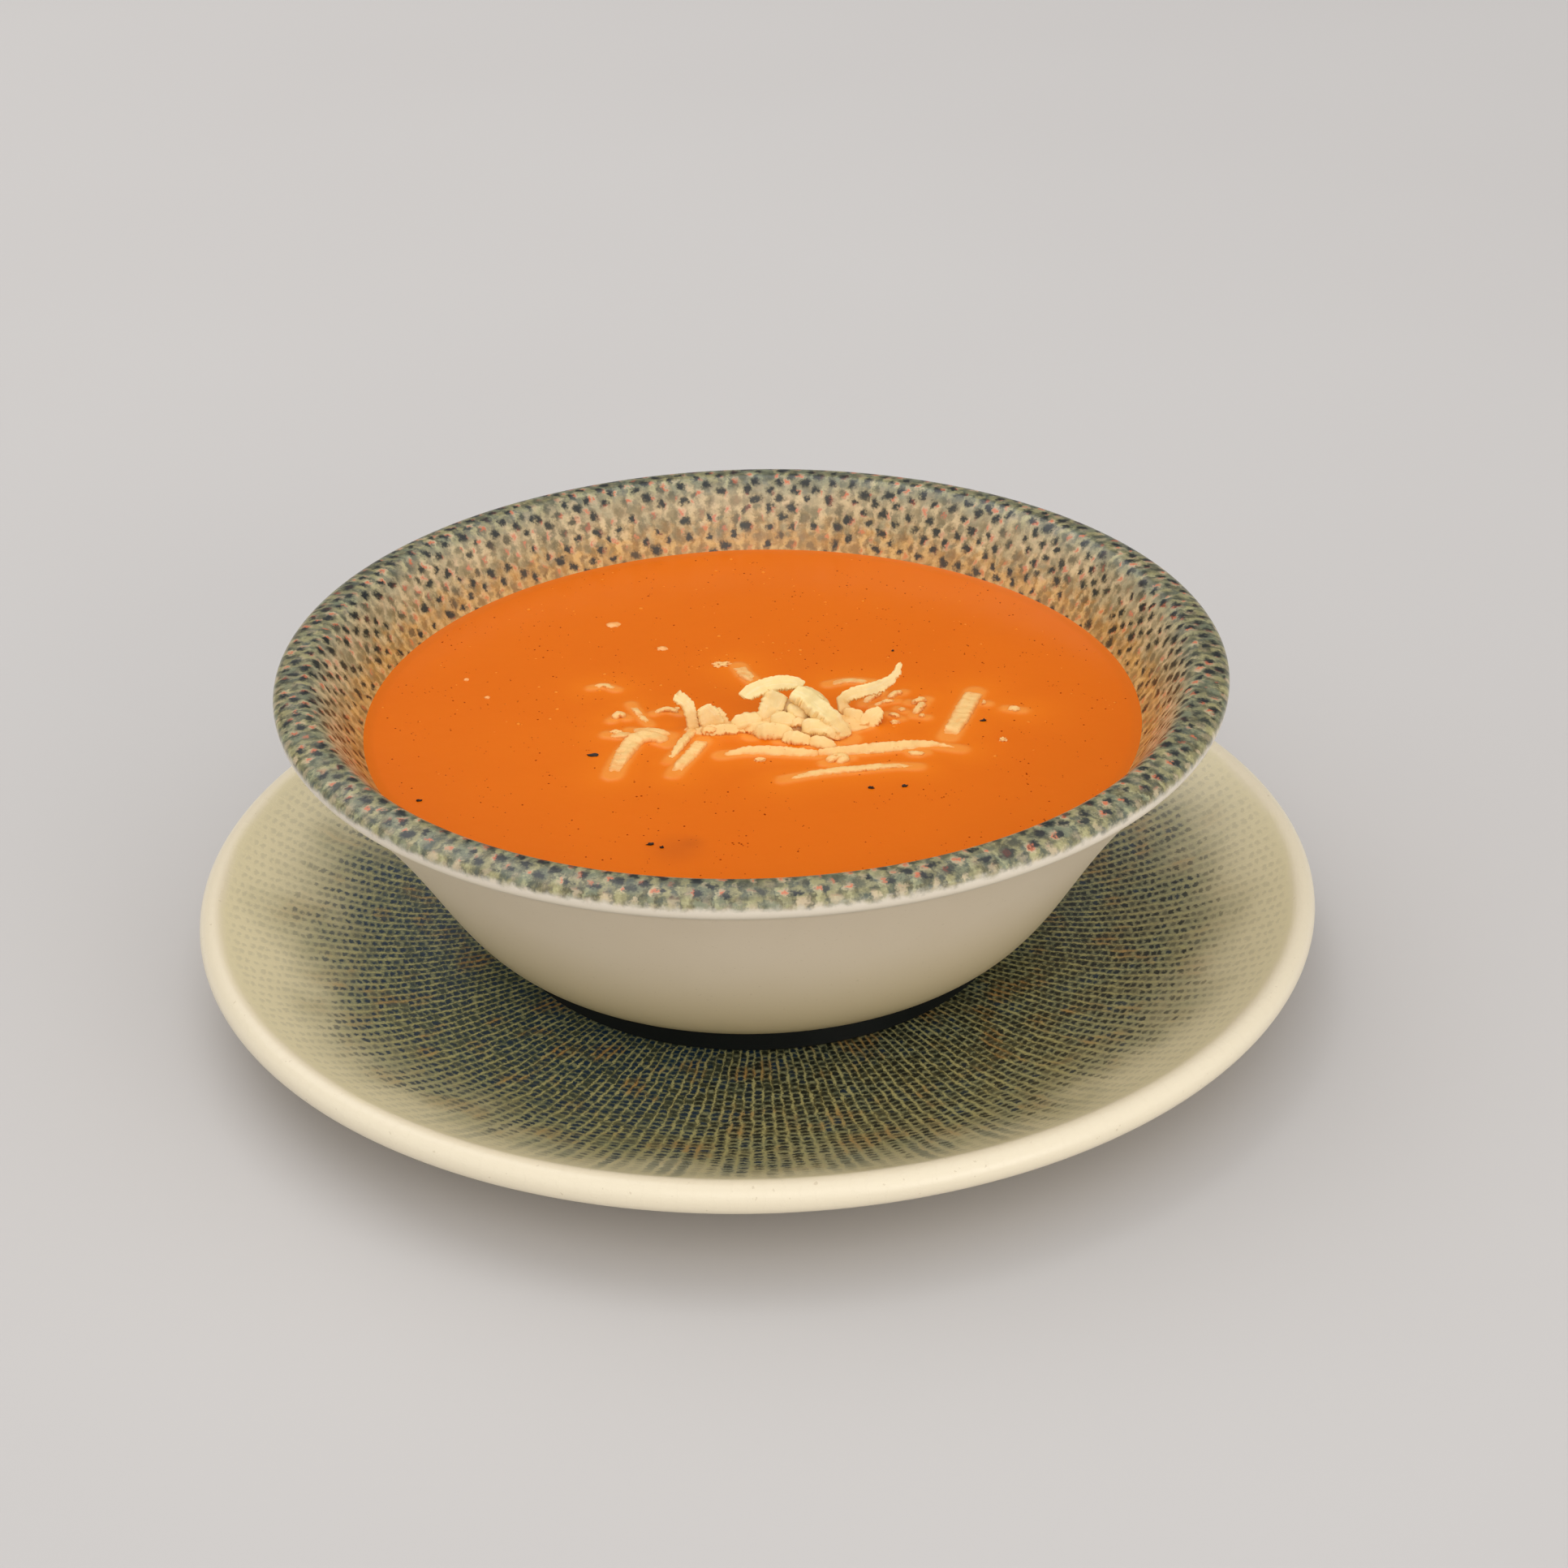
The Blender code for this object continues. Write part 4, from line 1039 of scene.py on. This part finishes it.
def cheese_finish():
    """Pale grated cheese, streaked along its grain, soaked orange near the soup's level, and painted warmer
    up to 5 mm over it for the soup's orange light.
    """
    finish = Finish("cheese", Roughness=0.38, Specular_IOR_Level=0.4)
    spot = finish.spot()
    _, _, height = finish.split(spot)
    above = height - SOUP_LEVEL
    over = above + (finish.cloud(spot, 0.7, 3.0) - 0.5) * 1.2
    way, flat = finish.map("grain")
    streak = finish.cloud(finish.join(way * 0.25, flat * 3.0, height * 0.6), 1.0, 3.0, 0.6)
    wet = finish.rise(finish.cloud(spot + (5.0, 0.0, 0.0), 0.28), 0.5, 0.66)
    uneven = (finish.cloud(spot + (0.0, 9.0, 0.0), 0.9, 3.0) - 0.5) * 0.4
    stain = finish.rise(finish.mark("soak") + uneven, 0.2, 0.9)
    drops = finish.add("ShaderNodeTexVoronoi", {"Vector": spot, "Scale": 1.3}, out="Distance")
    speck = finish.rise(drops, 0.17, 0.11) * finish.rise(finish.cloud(spot, 0.5), 0.5, 0.6)
    finish.set(Base_Color=finish.coated(
        finish.mixed(finish.cloud(spot, 0.3, 3.0), (246, 222, 162), (240, 208, 134)),
        (finish.rise(streak, 0.45, 0.75) * 0.5, (246, 230, 190)),
        (wet * 0.5, (222, 196, 134)),
        # Painted light: warmer yellow-orange up to 5 mm over the soup, for the soup's orange light on the
        # low cheese
        (finish.rise(over, 5.0, 0.0) * 0.8, (240, 188, 112)),
        (finish.rise(over, 0.55, -0.2) * 0.85, SOAKED_TINT),
        (stain * 0.92, SOAKED_TINT),
        (speck * finish.rise(above, 5.0, 0.0) * 0.8, (216, 104, 28))))
    finish.bump(finish.cloud(spot, 3.0, 4.0, 0.7) + streak * 0.5, CHEESE_RELIEF, 0.5)
    return finish


def soaked(mesh, share):
    """The mesh, marked as soaked with soup all over."""
    marks = mesh.attributes.new("soak", "FLOAT", "POINT")
    marks.data.foreach_set("value", [share] * len(mesh.vertices))
    return mesh


def make_cheese(finish):
    """The heap over its core, and the strips that lie apart, each in place of its solid."""
    tree = strip_tree()
    # The core's soak tint is partly painted light: the soup's orange light in the shade under the heap
    parts = [soaked(lump("core", (x, y, SOUP_LEVEL + z), half, finish, 3.0 * index), CORE_SOAK_AND_GLOW)
             for index, ((x, y, z), half) in enumerate(HEAP_CORE)]
    heap = ((HEAP_STRIPS, 0.0, 1.7, CUT_STRIP), (HEAP_LUMPS, 200.0, 1.9, SOFT_LUMP),
            (HEAP_FRONT, 240.0, 2.9, HALF_SUNK))
    parts += [grated(tree, "heap_strip", strip, finish, first_seed + seed_step * index, make)
              for strips, first_seed, seed_step, make in heap for index, strip in enumerate(strips)]
    set_out("grated_heap", joined("grated_heap", parts), ["cheese_heap"], CHEESE_CREASE)
    for number, (node, strips) in enumerate(LONE_STRIPS.items()):
        parts = [grated(tree, node, strip, finish, 60.0 + 5.1 * number + index, FLOATING)
                 for index, strip in enumerate(strips)]
        set_out(node.replace("cheese", "grated"), joined(node, parts), [node], CHEESE_CREASE)
    parts = [grated(tree, "shred", strip, finish, 120.0 + 2.3 * index, SHREDDED)
             for index, strip in enumerate(SHREDS)]
    set_out("cheese_shreds", joined("cheese_shreds", parts), ["soup"], CHEESE_CREASE)


def soup_rim():
    """Radius and height of the soup's edge on the wall, a hair into the wall."""
    top = SOUP_LEVEL + MENISCUS_RISE
    wall = wall_curve(WALL_THICKNESS - SOUP_OVERLAP, WALL_STEPS)
    for upper, lower in zip(wall, wall[1:]):
        if lower[1] <= top:
            share = (upper[1] - top) / (upper[1] - lower[1])
            return upper[0] + (lower[0] - upper[0]) * share, top
    return wall[-1]


def soup_radii(edge):
    """Ring radii from the middle out: fine round the cheese and at the wall."""
    fine = [FINE_RING * step for step in range(1, FINE_RINGS + 1)]
    coarse = np.linspace(fine[-1], edge - MENISCUS_WIDTH, COARSE_RINGS + 1)[1:]
    meniscus = [edge - MENISCUS_WIDTH * (1.0 - step / RISE_RINGS) for step in range(1, RISE_RINGS + 1)]
    return np.array(fine + list(coarse) + meniscus)


def falling(away, width, power):
    """1 where away is 0 or less, falling off over a width."""
    return np.exp(-(np.maximum(away, 0.0) / width) ** power)


def nearness(x, y):
    """For each place on the soup: how far into cheese it is, what lies just under it, and the glow."""
    wet, veil, glow = (np.zeros_like(x) for _ in range(3))
    apart = [strip for strips in LONE_STRIPS.values() for strip in strips]
    for corners, (width, thickness), _, _ in [*HEAP_STRIPS, *HEAP_LUMPS, *HEAP_FRONT, *SHREDS, *apart]:
        for px, py, height in smooth_path(corners, 12):
            away = np.hypot(x - px, y - py) - STRIP_REACH * width
            top = height + 0.5 * thickness
            touch = math.exp(-max(0.0, height - 1.0) ** 2)
            cover = math.exp(-max(0.0, 0.2 - top) - 2.0 * max(0.0, top - 1.2))
            wet = np.maximum(wet, touch * falling(away, WET_WIDTH, 2))
            veil = np.maximum(veil, cover * falling(away, VEIL_WIDTH, 1.5))
            glow = np.maximum(glow, falling(away, GLOW_WIDTH, 1.5))
    for (px, py, _), half in HEAP_CORE:
        away = (np.hypot((x - px) / half[0], (y - py) / half[1]) - 1.0) * half[1]
        wet = np.maximum(wet, falling(away, WET_WIDTH, 2))
        glow = np.maximum(glow, falling(away, GLOW_WIDTH, 1.5))
    return wet, veil, glow


def closed_rings(name, points, around, centre, bottom):
    """A closed mesh from rings of points, the first ring round a centre and the last round a bottom."""
    starts = range(0, len(points), around)
    faces = []
    for step in range(around):
        after = (step + 1) % around
        faces.append((len(points), step, after))
        faces.append((len(points) + 1, starts[-1] + after, starts[-1] + step))
    for inner, outer in zip(starts, starts[1:]):
        for step in range(around):
            after = (step + 1) % around
            faces.append((inner + step, outer + step, outer + after, inner + after))
    mesh = bpy.data.meshes.new(name)
    mesh.from_pydata((np.concatenate([points, [centre, bottom]]) * MM).tolist(), [], faces)
    return mesh


def make_soup(finish):
    """The soup: a surface with swells round the cheese and a rise at the wall, closed below."""
    edge, top = soup_rim()
    floor = BOWL_FLOOR_TOP + SOUP_GAP
    side = [point for point in wall_curve(WALL_THICKNESS + SOUP_GAP, 20) if point[1] < SOUP_LEVEL - 1.0]
    under = np.array(side + [(BOWL_FLOOR_FLAT, floor)])
    surface = soup_radii(edge)
    radii = np.repeat(np.concatenate([surface, under[:, 0]]), SOUP_AROUND)
    angles = np.tile(np.arange(SOUP_AROUND) * TURN / SOUP_AROUND, len(surface) + len(under))
    count = len(surface) * SOUP_AROUND
    x, y = radii * np.cos(angles), radii * np.sin(angles)
    climb = np.clip((radii[:count] - edge + MENISCUS_WIDTH) / MENISCUS_WIDTH, 0.0, 1.0)
    wet, veil, glow = nearness(x[:count], y[:count])
    z = SOUP_LEVEL + (top - SOUP_LEVEL) * climb ** 2 + WET_SWELL * wet + VEIL_SWELL * veil
    points = np.stack([x, y, np.concatenate([z, np.repeat(under[:, 1], SOUP_AROUND)])], 1)
    mesh = closed_rings("soup_surface", points, SOUP_AROUND, (0.0, 0.0, SOUP_LEVEL), (0.0, 0.0, floor))
    for name, values in (("veil", veil), ("glow", glow)):
        layer = mesh.attributes.new(name, "FLOAT", "POINT")
        layer.data.foreach_set("value", np.pad(values, (0, len(mesh.vertices) - count)).astype(np.float32))
    mesh.materials.append(finish.material)
    set_out("soup_surface", mesh, ["soup"], 50.0)


def soup_finish():
    """Smooth orange soup, brighter round the cheese, with a faint smudge near its front edge, and a duller
    orange at the wall as painted reflection and shade.
    """
    finish = Finish("soup", Roughness=0.24, IOR=1.36, Specular_IOR_Level=0.3, Subsurface_Weight=0.08,
                    Subsurface_Scale=0.0012, Subsurface_Radius=(1.0, 0.4, 0.08))
    spot = finish.spot()
    x, y, _ = finish.split(spot)
    # Painted reflection and shade: the soup near the wall is painted a duller orange
    edge_reflection_and_shade = finish.rise(finish.span(x, y), SOUP_EDGE - 2.6, SOUP_EDGE - 0.8)
    veil = finish.mark("veil") + (finish.cloud(spot, 0.8, 3.0) - 0.5) * 0.3
    smudges = [(finish.rise(finish.span((x - x_mm) / reach, (y - y_mm) / reach), 1.0, 0.0) * share,
                (172, 78, 16)) for x_mm, y_mm, reach, share in SMUDGES]
    finish.set(Base_Color=finish.coated(
        finish.mixed(finish.cloud(spot, 0.05, 3.0), (217, 102, 3), (223, 108, 6)),
        (edge_reflection_and_shade * 0.8, (212, 104, 12)),
        (finish.mark("glow") * 0.6, (234, 122, 14)),
        (finish.rise(veil, 0.05, 1.1) ** 1.5 * 0.7, (237, 150, 62)),
        *smudges))
    finish.bump(finish.cloud(spot, 0.3), SOUP_RELIEF, 0.2)
    return finish


def sprinkle_tree():
    """Small grains scattered over a round surface, more of them where a soft noise is high."""
    numbers = ("Reach", "Height", "Density", "Smallest", "Largest", "Patches", "Behind")
    tree, desk, given = new_tree("sprinkle", {
        "Grain": "Object", "Seed": "Int", "Finish": "Material", **dict.fromkeys(numbers, "Float")})
    disc = desk.add("GeometryNodeMeshCircle", {"Vertices": 96, "Radius": given["Reach"]}, fill_type="NGON")
    points = desk.add("GeometryNodeDistributePointsOnFaces", {"Mesh": disc, "Density": given["Density"],
                                                              "Seed": given["Seed"]}, out="Points")
    here = desk.add("GeometryNodeInputPosition")
    _, back, _ = desk.split(here)
    thick = desk.cloud(here * PER_METRE, given["Patches"]) + back * given["Behind"]
    bare = desk.add("FunctionNodeCompare", {0: thick, 1: 0.5}, operation="LESS_THAN", data_type="FLOAT")
    kept = desk.add("GeometryNodeDeleteGeometry", {"Geometry": points, "Selection": bare}, domain="POINT")

    def drawn(most, seed):
        return desk.add("FunctionNodeRandomValue", {2: 0.0, 3: most, "Seed": seed}, out=1,
                        data_type="FLOAT")

    size = given["Smallest"] + (given["Largest"] - given["Smallest"]) * drawn(1.0, given["Seed"]) ** 3.0
    turn = desk.join(0.0, 0.0, drawn(TURN, given["Seed"] + 1))
    grain = desk.add("GeometryNodeObjectInfo", {"Object": given["Grain"]}, out="Geometry")
    laid = desk.add("GeometryNodeInstanceOnPoints", {
        "Points": kept, "Instance": grain, "Rotation": turn,
        "Scale": desk.join(size, size * 0.8, size * 0.7)})
    level = desk.join(0.0, 0.0, given["Height"])
    end_tree(desk, desk.add("GeometryNodeTransform", {"Geometry": laid, "Translation": level}),
             given["Finish"])
    return tree


def sprinkled(tree, name, finish, per_square_cm, sizes, patches, behind, seed, rough):
    """Grains of one kind over the soup, as one piece. Sizes are half lengths in millimetres."""
    one = lump(name + "_grain", (0.0, 0.0, 0.0), (1.0, 1.0, 0.5), finish, 1.0, rough, 1)
    grain = placed(name + "_grain", one)
    whole = grown(tree, name, Grain=grain, Reach=SPRINKLE_REACH * MM, Height=SOUP_LEVEL * MM,
                  Density=per_square_cm * SQUARE_CM_IN_SQUARE_METRE, Smallest=sizes[0], Largest=sizes[1],
                  Patches=patches, Behind=behind, Seed=seed, Finish=finish.material)
    bpy.data.objects.remove(grain)
    set_out(name, whole, ["soup"], 80.0)


def dotted(name, finish, dots, lift, seed_step, rough, detail):
    """Small rounded bits on the soup, as one piece; dots hold (x, y) and three half sizes."""
    parts = [lump(name, (x, y, SOUP_LEVEL + lift), half, finish, seed_step * index, rough, detail)
             for index, (x, y, *half) in enumerate(dots)]
    set_out(name, joined(name, parts), ["soup"], 60.0)


def make_specks(cheese):
    """Crumbs, pepper and bubbles on the surface, and fine specks of fat and spice all over it."""
    crumbs = [(*crumb, CRUMB_HEIGHT) for crumb in CRUMBS]
    dotted("cheese_crumbs", cheese, crumbs, -0.1, 2.3, 0.6, 4)
    ground = Finish("ground_pepper", Base_Color=tint(34, 22, 14), Roughness=0.7)
    grounds = [(x, y, half, 0.5 * half, SPECK_HEIGHT) for x, y, half in PEPPER]
    dotted("ground_pepper", ground, grounds, 0.1, 3.7, 0.8, 2)
    froth = Finish("froth", Base_Color=tint(242, 168, 92), Roughness=0.25)
    bubbles = [(x, y, half, 0.8 * half, SPECK_HEIGHT) for x, y, half in BUBBLES]
    dotted("soup_bubbles", froth, bubbles, 0.0, 1.3, 0.3, 3)
    tree = sprinkle_tree()
    pale = Finish("fat_specks", Base_Color=tint(236, 134, 40), Roughness=0.8, Specular_IOR_Level=0.1)
    sprinkled(tree, "pale_specks", pale, 2.0, (0.15, 0.5), 0.06, 4.0, 11, 0.5)
    spice = Finish("spice_specks", Base_Color=tint(140, 44, 6), Roughness=1.0, Specular_IOR_Level=0.0)
    sprinkled(tree, "spice_specks", spice, 16.0, (0.09, 0.2), 0.12, 0.0, 23, 0.7)


def main():
    place_camera()
    light_the_table()
    lay_table()
    wheel = turned_tree()
    profile, rim = bowl_profile()
    bowl = turned(wheel, "bowl_glazed", profile, way_to(profile, rim), bowl_finish())
    set_out("bowl_glazed", bowl, ["bowl"])
    profile = plate_profile()
    outer = max(range(len(profile)), key=lambda index: profile[index][0])
    plate = turned(wheel, "plate_glazed", profile, way_to(profile, outer), plate_finish())
    set_out("plate_glazed", plate, ["plate"])
    cheese = cheese_finish()
    make_soup(soup_finish())
    make_cheese(cheese)
    make_specks(cheese)


main()
